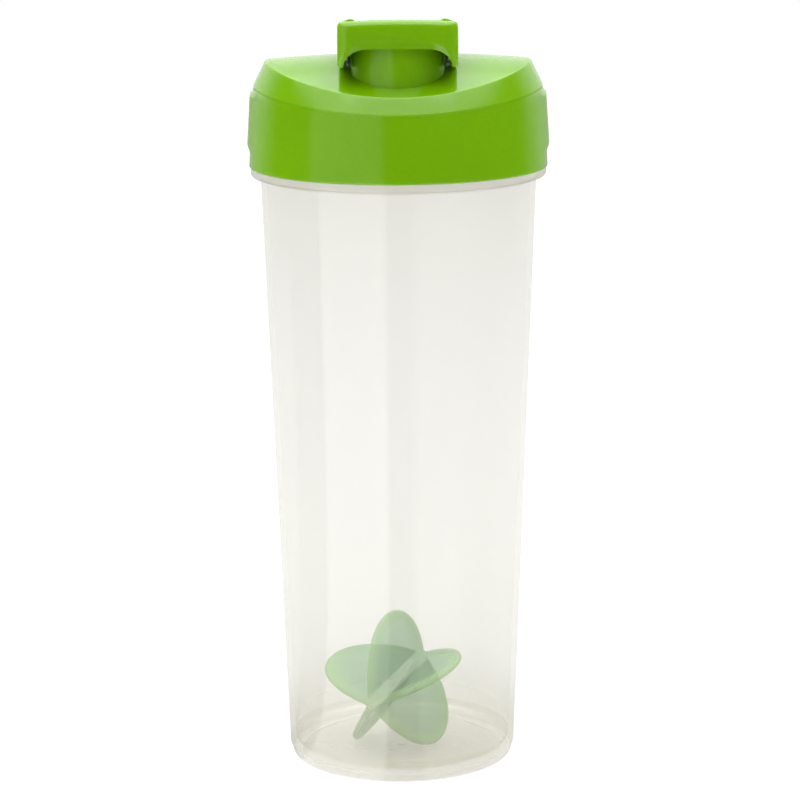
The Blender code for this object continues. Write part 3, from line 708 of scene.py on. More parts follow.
# %% [markdown]
# ## The screw thread
#
# The neck carries two ridges, half a turn apart, and the lid has two that run under them. Each
# climbs 8 mm in a turn, so a short twist closes the lid. A ridge is one small section carried
# along a helix, and it fades in and out so that it finds its way past the other thread.

# %% Thread ridges
THREAD_LEAD = 8.0 * MM
THREAD_TURNS = 1.1
THREAD_STARTS = 2
THREAD_WIDTH = 1.3 * MM
THREAD_SINK = 0.4 * MM
THREAD_STEPS = 150
THREAD_FADE = 12


def thread_ridge(name, radius, outward, depth, low_z, start_angle):
    """One helical ridge that stands out of, or into, a round wall."""
    rows = []
    for step in range(THREAD_STEPS + 1):
        share = step / THREAD_STEPS
        angle = start_angle + 2 * math.pi * THREAD_TURNS * share
        fade = min(1.0, THREAD_FADE * share, THREAD_FADE * (1 - share))
        height = low_z + THREAD_LEAD * THREAD_TURNS * share
        root = radius - outward * THREAD_SINK
        tip = radius + outward * (depth * fade - THREAD_SINK * (1 - fade))
        section = [
            (root, -THREAD_WIDTH / 2),
            (tip, -THREAD_WIDTH / 4),
            (tip, THREAD_WIDTH / 4),
            (root, THREAD_WIDTH / 2),
        ]
        rows.append([
            (r * math.cos(angle), r * math.sin(angle), height + dz) for r, dz in section
        ])
    return skin(name, rows)


print("a thread ridge climbs", round(THREAD_LEAD * THREAD_TURNS / MM, 1), "mm")

# %% Thread on the neck
NECK_THREAD_FOOT = 3.4 * MM
NECK_THREAD_DEPTH = 0.9 * MM
for start in range(THREAD_STARTS):
    foot = flange_top + NECK_THREAD_FOOT
    ridge = thread_ridge("neck_thread", NECK_RADIUS, 1, NECK_THREAD_DEPTH, foot, math.pi * start)
    combine(cup, ridge, "UNION")
print("thread ridges on the neck:", THREAD_STARTS)

# %% [markdown]
# Hot plastic enters the mould in the middle of the cup's underside and leaves a small round
# mark where it is cut off. After that the cup is whole, and each of its surfaces gets the skin
# that belongs there.

# %% Gate mark under the floor
GATE_RADIUS = 1.6 * MM
GATE_HEIGHT = 0.5 * MM
GATE_SINK = 0.3 * MM
GATE_EDGE = 0.2 * MM
GATE_STEPS = 32
gate_top, gate_foot = FOOT_RECESS + GATE_SINK, FOOT_RECESS - GATE_HEIGHT
gate = turned("gate_mark", [
    (0, gate_top, 0),
    (GATE_RADIUS, gate_top, 0),
    (GATE_RADIUS, gate_foot, GATE_EDGE),
    (0, gate_foot, 0),
], GATE_STEPS)
combine(cup, gate, "UNION")
finish_piece(cup, cup_outer, "cup", "cup_body")

# %% Skins of the cup
# How far a face may lie off a limit, and how much a face of the floor looks upwards at least.
HEIGHT_PLAY = 0.1 * MM
RIM_PLAY = 0.3 * MM
LEAST_UPWARD = 0.1
OUTER, INNER, FLOOR, UNDERSIDE = range(4)
for surface in (cup_inner, cup_floor, cup_underside):
    cup.data.materials.append(surface)
for face in cup.data.polygons:
    x, y, z = face.center
    inward = face.normal.x * x + face.normal.y * y < 0
    if FLOOR_TOP - HEIGHT_PLAY < z < FLOOR_TOP + FLOOR_FILLET and face.normal.z > LEAST_UPWARD:
        face.material_index = FLOOR
    elif z < FLOOR_TOP and math.hypot(x, y) < foot_radius - RIM_PLAY:
        face.material_index = UNDERSIDE
    elif inward and z > FLOOR_TOP:
        face.material_index = INNER
for index in (OUTER, INNER, FLOOR, UNDERSIDE):
    count = sum(face.material_index == index for face in cup.data.polygons)
    print(cup.data.materials[index].name, "covers", count, "faces")

# %% [markdown]
# ## The lid
#
# The top is a shallow saddle back: it falls 9 mm to the front and the back and 2 mm to the
# sides. Where this surface meets the sloping chamfer, the edge dips in a wave, and the line
# where the chamfer meets the skirt follows it. So the lid is lofted round its axis, with a new
# section in each direction.

# %% Lid sizes
LID_STEPS = 192
TOP_RINGS = 48
SKIRT_FLARE = 0.5 * MM
SKIRT_TAPER = 1.05 * MM + SKIRT_FLARE
BAND_HEIGHT = 24.2 * MM
BAND_DIP = 4.7 * MM
CHAMFER_ANGLE = math.radians(24.5)
CROWN_OVER_BAND = 9.8 * MM
TOP_FRONT_FALL = 8.9 * MM
TOP_SIDE_FALL = 1.9 * MM
TOP_EDGE_INSET = 3.4 * MM
LID_WALL = 1.8 * MM
LID_DECK = 1.8 * MM
SEAT_OVERHANG = 0.8 * MM

lid_seat = gasket_high.z + gap
band_top = lid_foot + BAND_HEIGHT
lid_crown = band_top + CROWN_OVER_BAND
top_edge_radius = lid_radius - TOP_EDGE_INSET
skirt_foot_radius = lid_radius + SKIRT_FLARE
print("lid crown in mm:", round(lid_crown / MM, 1), "band line:", round(band_top / MM, 1))


# %% Surfaces of the lid
def top_height(x, y):
    """Height of the crowned top above the point x, y."""
    side_fall = TOP_SIDE_FALL * (x / top_edge_radius) ** 2
    front_fall = TOP_FRONT_FALL * (y / top_edge_radius) ** 2
    return lid_crown - side_fall - front_fall


def top_height_round(radius, azimuth):
    """Height of the crowned top at a radius and a direction."""
    return top_height(radius * math.cos(azimuth), radius * math.sin(azimuth))


def skirt_radius(height):
    """Outer radius of the tapered skirt."""
    return skirt_foot_radius - SKIRT_TAPER * (height - lid_foot) / BAND_HEIGHT


def top_rings(azimuth, outer, drop):
    """Points from the axis to just short of an outer radius, on the crowned top."""
    return [
        (outer * ring / TOP_RINGS, top_height_round(outer * ring / TOP_RINGS, azimuth) - drop, 0)
        for ring in range(TOP_RINGS)
    ]


print("top at the front edge in mm:", round(top_height(0, -top_edge_radius) / MM, 1))

# %% [markdown]
# Thumb and finger hold the lid at its sides. The skirt stands out there: a long smooth flank
# rises from the front to a first rib, and more ribs with soft valleys follow towards the back.
# It fades out under the band line and above the skirt's foot. A function of direction and
# height adds this to the skirt's radius, so the grip is true form and no bump.

# %% Grip on the sides of the skirt
RIB_COUNT = 3
RIB_PITCH = math.radians(7.5)
RIB_STAND_OFF = 0.95 * MM
RIB_VALLEY = 0.5
RIB_FOOT_GAP = 4.3 * MM
RIB_HEAD_RISE = 2.4 * MM
RIB_FOOT_RISE = 2.6 * MM
FRONT_FLANK = math.radians(15)
BACK_FLANK = math.radians(5)


def smooth(share):
    """Smooth change from 0 to 1 of a share that is held between them."""
    held = max(0.0, min(1.0, share))
    return held * held * (3 - 2 * held)


def grip_across(azimuth):
    """How far the grip stands out in one direction: a long flank in front, then the ribs."""
    towards_back = math.atan2(math.sin(azimuth), abs(math.cos(azimuth)))
    last_rib = (RIB_COUNT - 1) * RIB_PITCH
    if towards_back < 0:
        return smooth(1 + towards_back / FRONT_FLANK)
    if towards_back > last_rib:
        return smooth(1 - (towards_back - last_rib) / BACK_FLANK)
    return 1 - RIB_VALLEY * math.sin(math.pi * towards_back / RIB_PITCH) ** 2


def grip_along(height, band_z):
    """How far the grip stands out at one height."""
    head = max(0.0, min(1.0, (band_z - height) / RIB_HEAD_RISE))
    foot = (height - lid_foot - RIB_FOOT_GAP) / RIB_FOOT_RISE
    return math.sqrt(head * (2 - head)) * smooth(foot)


print("grip stands out", round(RIB_STAND_OFF / MM, 2), "mm in", RIB_COUNT, "ribs on each side")

# %% [markdown]
# A section of the lid in one direction runs from the crown over the edge, down the chamfer to
# the fine groove of the band line, and down the skirt. The section of the space inside is made
# in the same way and is cut out later.

# %% Lid sections
BAND_GROOVE = 0.12 * MM
BAND_GROOVE_HALF = 0.6 * MM
TOP_EDGE = 0.9 * MM
CHAMFER_EDGE = 1.2 * MM
GROOVE_EDGE = 1.0 * MM
SKIRT_ROWS = 22
SKIRT_FOOT_MARGIN = 1.2 * MM
EDGE_TRIES = 8


def skirt_rows(azimuth, band_z):
    """Points down the skirt from under the band line, with the grip on it."""
    high = band_z - 3 * BAND_GROOVE_HALF
    low = lid_foot + SKIRT_FOOT_MARGIN
    heights = [high + (low - high) * row / SKIRT_ROWS for row in range(SKIRT_ROWS + 1)]
    grip = RIB_STAND_OFF * grip_across(azimuth)
    return [(skirt_radius(z) + grip * grip_along(z, band_z), z, 0) for z in heights]


def lid_outside(azimuth):
    """Outer section of the lid in one direction."""
    band_z = band_top - BAND_DIP * math.sin(azimuth) ** 2
    edge_r = skirt_radius(band_z)
    for _ in range(EDGE_TRIES):
        rise = top_height_round(edge_r, azimuth) - band_z
        edge_r = skirt_radius(band_z) - rise * math.tan(CHAMFER_ANGLE)
    return rounded([
        *top_rings(azimuth, edge_r, 0),
        (edge_r, top_height_round(edge_r, azimuth), TOP_EDGE),
        (skirt_radius(band_z), band_z + BAND_GROOVE_HALF, CHAMFER_EDGE),
        (skirt_radius(band_z) - BAND_GROOVE, band_z, GROOVE_EDGE),
        (skirt_radius(band_z), band_z - BAND_GROOVE_HALF, RIM_EDGE),
        *skirt_rows(azimuth, band_z),
        (skirt_foot_radius, lid_foot, SOFT_EDGE),
        (0, lid_foot, 0),
    ])


print("points in a lid section:", len(lid_outside(0)))


# %% Sections of the space inside the lid
CUTTER_OVERHANG = 3 * MM


def lid_inside(azimuth):
    """Section of the space inside the lid in one direction."""
    seat_bore = neck_bore - SEAT_OVERHANG
    mouth = lid_foot - CUTTER_OVERHANG
    return rounded([
        *top_rings(azimuth, seat_bore, LID_DECK),
        (seat_bore, top_height_round(seat_bore, azimuth) - LID_DECK, RIM_EDGE),
        (seat_bore, lid_seat, FINE_EDGE),
        (skirt_radius(lid_seat) - LID_WALL, lid_seat, EASED_EDGE),
        (skirt_radius(mouth) - LID_WALL, mouth, 0),
        (0, mouth, 0),
    ])


print("points in an inside section:", len(lid_inside(0)))

# %% [markdown]
# The lid has a section about every two degrees, and four times as many where the grip's ribs
# stand.

# %% Lid form
GRIP_STEPS = 8
fine_steps = LID_STEPS * GRIP_STEPS
on_grip = [turn for turn in range(fine_steps) if grip_across(2 * math.pi * turn / fine_steps) > 0]
turns = sorted(set(range(0, fine_steps, GRIP_STEPS)) | {turn for turn in on_grip if turn % 2 == 0})
lid_azimuths = [2 * math.pi * turn / fine_steps for turn in turns]
lid = domed_skin("lid_moulding", lid_outside, lid_azimuths)
print("directions round the lid:", len(lid_azimuths))

# %% [markdown]
# ## The spout
#
# The spout stands on the same moulding. It is a plain tube with a rounded lip, joined to the
# lid as a solid first and bored later, so that the bore also opens the lid's top.

# %% Spout
SPOUT_STEPS = 96
SPOUT_RADIUS = 14.0 * MM
SPOUT_WALL = 1.6 * MM
SPOUT_FRONT_GAP = 8.6 * MM
PLUG_DEPTH = 2.7 * MM

spout_top = seal_low.z + PLUG_DEPTH
spout_bore = SPOUT_RADIUS - SPOUT_WALL
spout_centre = SPOUT_FRONT_GAP - lid_radius + SPOUT_RADIUS
spout = turned("spout", [
    (0, spout_top, 0),
    (SPOUT_RADIUS, spout_top, SOFT_EDGE),
    (SPOUT_RADIUS, lid_seat, 0),
    (0, lid_seat, 0),
], SPOUT_STEPS, middle=(0, spout_centre))
combine(lid, spout, "UNION")
print("spout top in mm:", round(spout_top / MM, 1), "bore:", round(2 * spout_bore / MM, 1))

# %% [markdown]
# ## Hinge lugs and pins
#
# Behind the spout stand two lugs with short pins, and the eyes in the flip cap's side walls
# snap over these pins. A lug is an upright bar with a round head, and its edges are eased.

# %% Hinge sizes
HINGE_Y = 4.0 * MM
EYE_WALL = 1.4 * MM
PIN_RADIUS = 1.5 * MM
LUG_THICKNESS = 2.6 * MM
LUG_RADIUS = 2.7 * MM
CAP_WALL = 1.75 * MM
LUG_SIDE_GAP = 0.4 * MM
LUG_EDGE = 0.35 * MM
LUG_HEAD_STEPS = 12
EDGE_SEGMENTS = 3
ROUND_STEPS = 48

eye_radius = PIN_RADIUS + gap
hinge_end_radius = eye_radius + EYE_WALL
CAP_LIP_HEIGHT = 8.2 * MM
CAP_LIP_OVERLAP = 0.8 * MM
CAP_TOP_DROP = 3.9 * MM
cap_lip_foot = spout_top - CAP_LIP_OVERLAP
cap_lip_top = cap_lip_foot + CAP_LIP_HEIGHT
hinge_z = cap_lip_top - CAP_TOP_DROP - hinge_end_radius
cap_inner_half = cap_half_width - CAP_WALL
lug_middle = cap_inner_half - LUG_SIDE_GAP - LUG_THICKNESS / 2
print("hinge axis in mm: y", round(HINGE_Y / MM, 1), "z", round(hinge_z / MM, 1))


# %% Hinge lugs and pins
def cross_bar(name, half_length, radius, middle_x, y, z):
    """A round bar along X with slightly rounded ends."""
    bar = turned(name, [
        (0, half_length, 0),
        (radius, half_length, FINE_EDGE),
        (radius, -half_length, FINE_EDGE),
        (0, -half_length, 0),
    ], ROUND_STEPS)
    bar.data.transform(Matrix.Translation((middle_x, y, z)) @ Matrix.Rotation(math.pi / 2, 4, "Y"))
    return bar


def ease_edges(piece, width, segments=EDGE_SEGMENTS, **settings):
    """Rounds a plain piece's edges at once."""
    rounding = piece.modifiers.new("rounding", "BEVEL")
    rounding.width = width
    rounding.segments = segments
    for setting, value in settings.items():
        setattr(rounding, setting, value)
    settle(piece)


for side in (1, -1):
    outline = rounded([
        (HINGE_Y - LUG_RADIUS, lid_seat, 0),
        (HINGE_Y - LUG_RADIUS, hinge_z + LUG_RADIUS, LUG_RADIUS),
        (HINGE_Y + LUG_RADIUS, hinge_z + LUG_RADIUS, LUG_RADIUS),
        (HINGE_Y + LUG_RADIUS, lid_seat, 0),
    ], steps=LUG_HEAD_STEPS)
    faces_x = [side * lug_middle - LUG_THICKNESS / 2, side * lug_middle + LUG_THICKNESS / 2]
    lug = skin("hinge_lug", [[(x, y, z) for y, z in outline] for x in faces_x])
    ease_edges(lug, LUG_EDGE)
    combine(lid, lug, "UNION")
    pin_end = cap_half_width - gap
    pin_middle = side * (lug_middle + pin_end) / 2
    pin_half = (pin_end - lug_middle) / 2
    pin = cross_bar("hinge_pin", pin_half, PIN_RADIUS, pin_middle, HINGE_Y, hinge_z)
    combine(lid, pin, "UNION")
print("pin radius in mm:", round(PIN_RADIUS / MM, 2), "eye radius:", round(eye_radius / MM, 2))

# %% [markdown]
# The lid is hollow from below, the spout is bored through, and two thread ridges stand inside
# the skirt. They run under those of the neck with a little play.

# %% Hollow of the lid and bore of the spout
hollow = domed_skin("lid_hollow", lid_inside, directions(LID_STEPS))
combine(lid, hollow, "DIFFERENCE")
bore = turned("spout_bore", [
    (0, spout_top + CUTTER_OVERHANG, 0),
    (spout_bore, spout_top + CUTTER_OVERHANG, 0),
    (spout_bore, lid_seat, 0),
    (0, lid_seat, 0),
], SPOUT_STEPS, middle=(0, spout_centre))
combine(lid, bore, "DIFFERENCE")
print("faces of the hollow lid:", len(lid.data.polygons))

# %% Thread in the lid
THREAD_PLAY = 0.35 * MM
foot = flange_top + NECK_THREAD_FOOT - THREAD_LEAD / 4
wall = skirt_radius(foot + THREAD_LEAD / 2) - LID_WALL
depth = wall - NECK_RADIUS - THREAD_PLAY
for start in range(THREAD_STARTS):
    combine(lid, thread_ridge("lid_thread", wall, -1, depth, foot, math.pi * start), "UNION")
finish_piece(lid, lid_green, "lid", "lid")

# %% [markdown]
# ## The gasket
#
# A flat silicone ring lies in the lid and closes on the neck's rim. Two fine beads on its
# lower face take up small faults of the rim.

# %% Gasket
GASKET_OVERHANG = 0.3 * MM
BEAD_HEIGHT = 0.2 * MM
BEAD_HALF = 0.35 * MM
BEAD_FROM_CREST = 0.45 * MM
gasket_outer = gasket_high.x
gasket_inner = neck_bore - GASKET_OVERHANG


def bead(radius, height, outward, downward):
    """Three corners of a small bead that stands out of a seal's profile."""
    along = BEAD_HALF * Vector((-downward, -outward))
    tip = BEAD_HEIGHT * Vector((outward, -downward))
    middle = Vector((radius, height))
    return [(*(middle - along), 0), (*(middle + tip), BEAD_HEIGHT), (*(middle + along), 0)]


neck_crest = (neck_bore + NECK_RADIUS) / 2
gasket = turned("lid_gasket_ring", [
    (gasket_inner, gasket_high.z, SMALL_EDGE),
    (gasket_outer, gasket_high.z, SMALL_EDGE),
    (gasket_outer, gasket_low.z, SMALL_EDGE),
    *bead(neck_crest + BEAD_FROM_CREST, gasket_low.z, 0, 1),
    *bead(neck_crest - BEAD_FROM_CREST, gasket_low.z, 0, 1),
    (gasket_inner, gasket_low.z, SMALL_EDGE),
], TURN_STEPS, closed=True)
finish_piece(gasket, silicone, "lid", "lid_gasket")

# %% [markdown]
# ## The flip cap
#
# The cap is a hood over the spout. Its lip hangs in front of the spout's rim, two side walls
# run back to the hinge, and their lower edge drops from the lip to the lid's top. It is a loft
# along Y: each section is a box with rounded edges, and its width, top and foot change on the
# way.

# %% Flip cap sizes
CAP_LIP_THICKNESS = 1.8 * MM
CAP_LIP_CHAMFER = (1.9 * MM, 1.0 * MM)
CAP_LIP_EDGE = 2.2 * MM
CAP_DECK = 2.0 * MM
CAP_SIDE_EDGE = 1.5 * MM
CAP_OUTER_CORNER = 3.0 * MM
CAP_INNER_CORNER = 4.2 * MM
CAP_LANDING = 19.0 * MM
CAP_HEEL = 9.0 * MM
CAP_WALL_GAP = 0.4 * MM
CAP_DECK_GAP = 0.5 * MM
CAP_CROWN = 0.5 * MM
ARCH_WIDTH = 7.0 * MM
ARCH_DROP = 5.2 * MM
HOOD_STEPS = 8
ARCH_STEPS = 10
CROWN_PLACES = [0.7, 0.4, 0, -0.4, -0.7]

cap_inner_front = cap_front + CAP_LIP_THICKNESS
landing_y = cap_front + CAP_LANDING
heel_y = HINGE_Y - CAP_HEEL
deck_end = HINGE_Y - LUG_RADIUS - CAP_DECK_GAP
top_slope = CAP_TOP_DROP / (HINGE_Y - cap_front)
print("flip cap in mm: front", round(cap_front / MM, 1), "width", round(2 * cap_half_width / MM, 1))


# %% Top of the flip cap
def deck_height(y):
    """Top of the cap's deck, which falls from the lip to the hinge."""
    return cap_lip_top - top_slope * (y - cap_front)


def quarter(inset, radius):
    """How far a rounded corner has risen where it is this far from its end."""
    return math.sqrt(max(0.0, radius ** 2 - max(0.0, inset) ** 2))


def hood_width(y, front, half, corner):
    """Half width of the hood, drawn in round its front corners."""
    return half - corner + quarter(corner - (y - front), corner)


def hood_top(y):
    """Top of the hood: rounded lip, deck, round end about the hinge."""
    if y > HINGE_Y:
        return hinge_z + quarter(y - HINGE_Y, hinge_end_radius)
    return deck_height(y) - CAP_LIP_EDGE + quarter(CAP_LIP_EDGE - (y - cap_front), CAP_LIP_EDGE)


print("deck in mm over the hinge:", round(hood_top(HINGE_Y) / MM, 1))


# %% Lower edge of the flip cap
def over_lid(y):
    """Lowest that a side wall may come above the lid's top."""
    return top_height(cap_inner_half, y) + CAP_WALL_GAP


def hood_foot(y):
    """Lower edge: chamfered lip, falling side walls, round end about the hinge."""
    rise, depth = CAP_LIP_CHAMFER
    if y < cap_inner_front:
        return cap_lip_foot + rise * max(0.0, 1 - (y - cap_front) / depth)
    if y < landing_y:
        share = (y - cap_inner_front) / (landing_y - cap_inner_front)
        return cap_lip_foot + (over_lid(landing_y) - cap_lip_foot) * share
    if y <= heel_y:
        return over_lid(y)
    if y < HINGE_Y:
        share = (y - heel_y) / (HINGE_Y - heel_y)
        return over_lid(heel_y) + share ** 2 * (hinge_z - hinge_end_radius - over_lid(heel_y))
    return hinge_z - quarter(y - HINGE_Y, hinge_end_radius)


def hood_side_foot(y):
    """Lower edge at the sides, where the lip's arch comes down into the side walls."""
    arch_foot = cap_lip_foot - ARCH_DROP
    if y < cap_inner_front:
        return hood_foot(y) - ARCH_DROP
    if y < landing_y:
        share = (y - cap_inner_front) / (landing_y - cap_inner_front)
        return arch_foot + (over_lid(landing_y) - arch_foot) * share
    return hood_foot(y)


print("side wall foot in mm:", round(hood_foot(heel_y) / MM, 1))


# %% Plain sections of the flip cap
# An edge radius is at most this share of its side.
EDGE_SHARE = 0.45


def box_section(y, half, low, high, edge):
    """A plain section, a box with rounded edges, as 3D points."""
    fitted = min(edge, EDGE_SHARE * (high - low), EDGE_SHARE * half)
    corners = [(-half, low), (half, low), (half, high), (-half, high)]
    return [(x, y, z) for x, z in rounded([(x, z, fitted) for x, z in corners], closed=True)]


print("points in a plain section:", len(box_section(0, cap_inner_half, 0, CAP_DECK, CAP_SIDE_EDGE)))


# %% Arched sections of the flip cap
# Where a section is too narrow for the whole arch, the points left over stand close together
# beside its rounded edge.
EDGE_CLEARANCE = 0.05 * MM
POINT_STEP = 0.001 * MM


def hood_section(y):
    """A section of the hood: arched below, slightly crowned above."""
    half = hood_width(y, cap_front, cap_half_width, CAP_OUTER_CORNER)
    low, side_low, high = hood_foot(y), hood_side_foot(y), hood_top(y)
    edge = min(CAP_SIDE_EDGE, EDGE_SHARE * (high - side_low))
    reach = half - edge - EDGE_CLEARANCE
    arch = []
    for step in range(ARCH_STEPS + 1):
        share = math.sin(math.pi / 2 * step / ARCH_STEPS)
        x = cap_inner_half - ARCH_WIDTH * (1 - share)
        if x > reach:
            share = max(0.0, min(share, 1 - (cap_inner_half - reach) / ARCH_WIDTH))
            x = reach + (step - ARCH_STEPS) * POINT_STEP
        arch.append((x, low + (side_low - low) * (1 - math.sqrt(1 - share ** 2)), 0))
    crown = CAP_CROWN if y < HINGE_Y else 0
    right = arch + [(half, arch[-1][1], edge), (half, high, edge)]
    over = [(half * share, high + crown * (1 - share ** 2), 0) for share in CROWN_PLACES]
    left = [(-x, z, radius) for x, z, radius in reversed(right)]
    return [(x, y, z) for x, z in rounded(right + over + left, closed=True)]


print("points in a section of the hood:", len(hood_section(landing_y)))

# %% [markdown]
# The sections stand close together where the cap's outline bends, at its front corners, its lip
# and its round end about the hinge, and far apart where it is straight.

# %% Places of the sections along the flip cap
CLOSEST_SECTIONS = 0.04 * MM


def arc_places(start, radius):
    """Places along Y that follow a rounded corner evenly."""
    quarter_turn = [math.pi / 2 * step / HOOD_STEPS for step in range(HOOD_STEPS + 1)]
    return [start + radius * (1 - math.cos(turn)) for turn in quarter_turn]


places = set(arc_places(cap_front, CAP_OUTER_CORNER)) | set(arc_places(cap_front, CAP_LIP_EDGE))
places |= {cap_front + CAP_LIP_CHAMFER[1], cap_inner_front, HINGE_Y}
for step in range(2 * HOOD_STEPS):
    share = step / (2 * HOOD_STEPS)
    places.add(landing_y + (heel_y - landing_y) * share)
    places.add(heel_y + (HINGE_Y - heel_y) * share)
for step in range(1, HOOD_STEPS):
    places.add(HINGE_Y + hinge_end_radius * math.sin(math.pi / 2 * step / HOOD_STEPS))

stations = []
for y in sorted(places):
    if not stations or y - stations[-1] > CLOSEST_SECTIONS:
        stations.append(y)
print("sections of the flip cap:", len(stations))

# %% Flip cap form
cap = skin("flip_cap_moulding", [hood_section(y) for y in stations])
print("faces of the plain flip cap:", len(cap.data.polygons))

# %% [markdown]
# Two raised rails run along the deck's sides. They stiffen it and give the thumb a hold. Each
# point of a rail's section is its distance from the side wall and its rise over the deck.

# %% Rails on the flip cap
RAIL_HEIGHT = 0.8 * MM
RAIL_SINK = 1.2 * MM
RAIL_FRONT_GAP = 2.4 * MM
RAIL_REAR_GAP = 1.5 * MM
rail_profile = [
    (0.8 * MM, -0.3 * MM),
    (1.5 * MM, 0.1 * MM),
    (3.4 * MM, RAIL_HEIGHT),
    (4.6 * MM, RAIL_HEIGHT),
    (5.6 * MM, 0),
]

rail_ends = [cap_front + RAIL_FRONT_GAP, deck_end - RAIL_REAR_GAP]
for side in (1, -1):
    upper = [(side * (cap_half_width - inset), rise) for inset, rise in rail_profile]
    outline = [(upper[0][0], -RAIL_SINK), *upper, (upper[-1][0], -RAIL_SINK)]
    rail = skin("cap_rail", [
        [(x, y, deck_height(y) + rise) for x, rise in outline] for y in rail_ends
    ])
    ease_edges(rail, FINE_EDGE)
    combine(cap, rail, "UNION")
print("rails in mm long:", round((rail_ends[1] - rail_ends[0]) / MM, 1))

# %% [markdown]
# A second loft is the space inside the cap. A ring is left standing in it, which holds the
# soft seal, and the eyes for the hinge pins go through both side walls.

# %% Space inside the flip cap, seal ring and hinge eyes
SEAL_RING_WALL = 2.0 * MM
HOLLOW_EDGE = 1.0 * MM
DECK_END_STEP = 0.4 * MM
seal_flange_radius = seal_high.x
mouth = top_height(0, cap_front) - CUTTER_OVERHANG
above = cap_lip_top + CUTTER_OVERHANG
behind_hinge = HINGE_Y + hinge_end_radius + CUTTER_OVERHANG
hollow_sections = [
    box_section(y, hood_width(y, cap_inner_front, cap_inner_half, CAP_INNER_CORNER),
                mouth, deck_height(y) - CAP_DECK, HOLLOW_EDGE)
    for y in arc_places(cap_inner_front, CAP_INNER_CORNER)
]
hollow_sections += [
    box_section(deck_end, cap_inner_half, mouth, deck_height(deck_end) - CAP_DECK, HOLLOW_EDGE),
    box_section(deck_end + DECK_END_STEP, cap_inner_half, mouth, above, HOLLOW_EDGE),
    box_section(behind_hinge, cap_inner_half, mouth, above, HOLLOW_EDGE),
]
cap_hollow = skin("cap_hollow", hollow_sections)
seal_ring = turned("seal_ring", [
    (seal_flange_radius - SEAL_RING_WALL, above, 0),
    (seal_flange_radius, above, 0),
    (seal_flange_radius, seal_high.z + gap, FINE_EDGE),
    (seal_flange_radius - SEAL_RING_WALL, seal_high.z + gap, FINE_EDGE),
], SPOUT_STEPS, closed=True, middle=(0, spout_centre))
combine(cap_hollow, seal_ring, "DIFFERENCE")
combine(cap, cap_hollow, "DIFFERENCE")
eyes = cross_bar("hinge_eyes", cap_half_width + CUTTER_OVERHANG, eye_radius, 0, HINGE_Y, hinge_z)
combine(cap, eyes, "DIFFERENCE")
finish_piece(cap, lid_green, "cap", "flip_cap")

# %% [markdown]
# ## The spout seal
#
# The soft plug under the cap closes the spout. Its flange lies on the rim and a hollow skirt
# with two beads reaches into the bore.

# %% Spout seal
PLUG_TAPER = 0.4 * MM
UPPER_BEAD = (0.1 * MM, 0.9 * MM)
LOWER_BEAD = (0.22 * MM, 1.8 * MM)
PLUG_WALL = 1.6 * MM
seal_base = spout_top + gap
plug_radius = spout_bore - gap
plug_foot = spout_top - PLUG_DEPTH
seal = turned("spout_seal_plug", [
    (0, seal_high.z, 0),
    (seal_flange_radius, seal_high.z, EASED_EDGE),
    (seal_flange_radius, seal_base, EASED_EDGE),
    (plug_radius, seal_base, FINE_EDGE),
    *bead(plug_radius - UPPER_BEAD[0], seal_base - UPPER_BEAD[1], 1, 0),
    *bead(plug_radius - LOWER_BEAD[0], seal_base - LOWER_BEAD[1], 1, 0),
    (plug_radius - PLUG_TAPER, plug_foot, SOFT_EDGE),
    (plug_radius - PLUG_TAPER - PLUG_WALL, plug_foot, SOFT_EDGE),
    (plug_radius - PLUG_TAPER - PLUG_WALL, seal_base, SOFT_EDGE),
    (0, seal_base, 0),
], SPOUT_STEPS, middle=(0, spout_centre))
finish_piece(seal, silicone, "cap", "spout_seal")

# %% [markdown]
# ## The mixing star
#
# Five half-oval blades stand round one short axis. The star is moulded in one piece, so the
# roots of the blades are filleted. The plain blades are joined, remeshed with fine voxels and
# smoothed, which rounds the roots as a mould does.

# %% Star sizes
STAR_BLADES = 5
BLADE_RADIUS = 22.9 * MM
STAR_HALF_LENGTH = 20.0 * MM
BLADE_THICKNESS = 2.1 * MM
BLADE_EDGE = 0.95 * MM
BLADE_SEGMENTS = 4
BLADE_EDGE_ANGLE = math.radians(50)
BLADE_STEPS = 64
CORE_RADIUS = 1.7 * MM
CORE_EDGE = 0.9 * MM
POLE_BOSS = 0.6 * MM
STAR_FULLNESS = 0.9
STAR_SKEW = 0.09
STAR_ROLL = math.radians(3.5)
STAR_TURN = math.radians(-24.6)
STAR_DIP = math.radians(7.5)
STAR_PLACE = (-1.4 * MM, -2.6 * MM)

print("length of the star in mm:", round(2 * STAR_HALF_LENGTH / MM, 1))

# %% Star blades
blade_outline = [(0, -STAR_HALF_LENGTH)]
for step in range(1, BLADE_STEPS):
    angle = math.pi * step / BLADE_STEPS
    reach = BLADE_RADIUS * math.sin(angle) ** STAR_FULLNESS * (1 - STAR_SKEW * math.cos(angle))
    blade_outline.append((reach, -STAR_HALF_LENGTH * math.cos(angle)))
blade_outline.append((0, STAR_HALF_LENGTH))

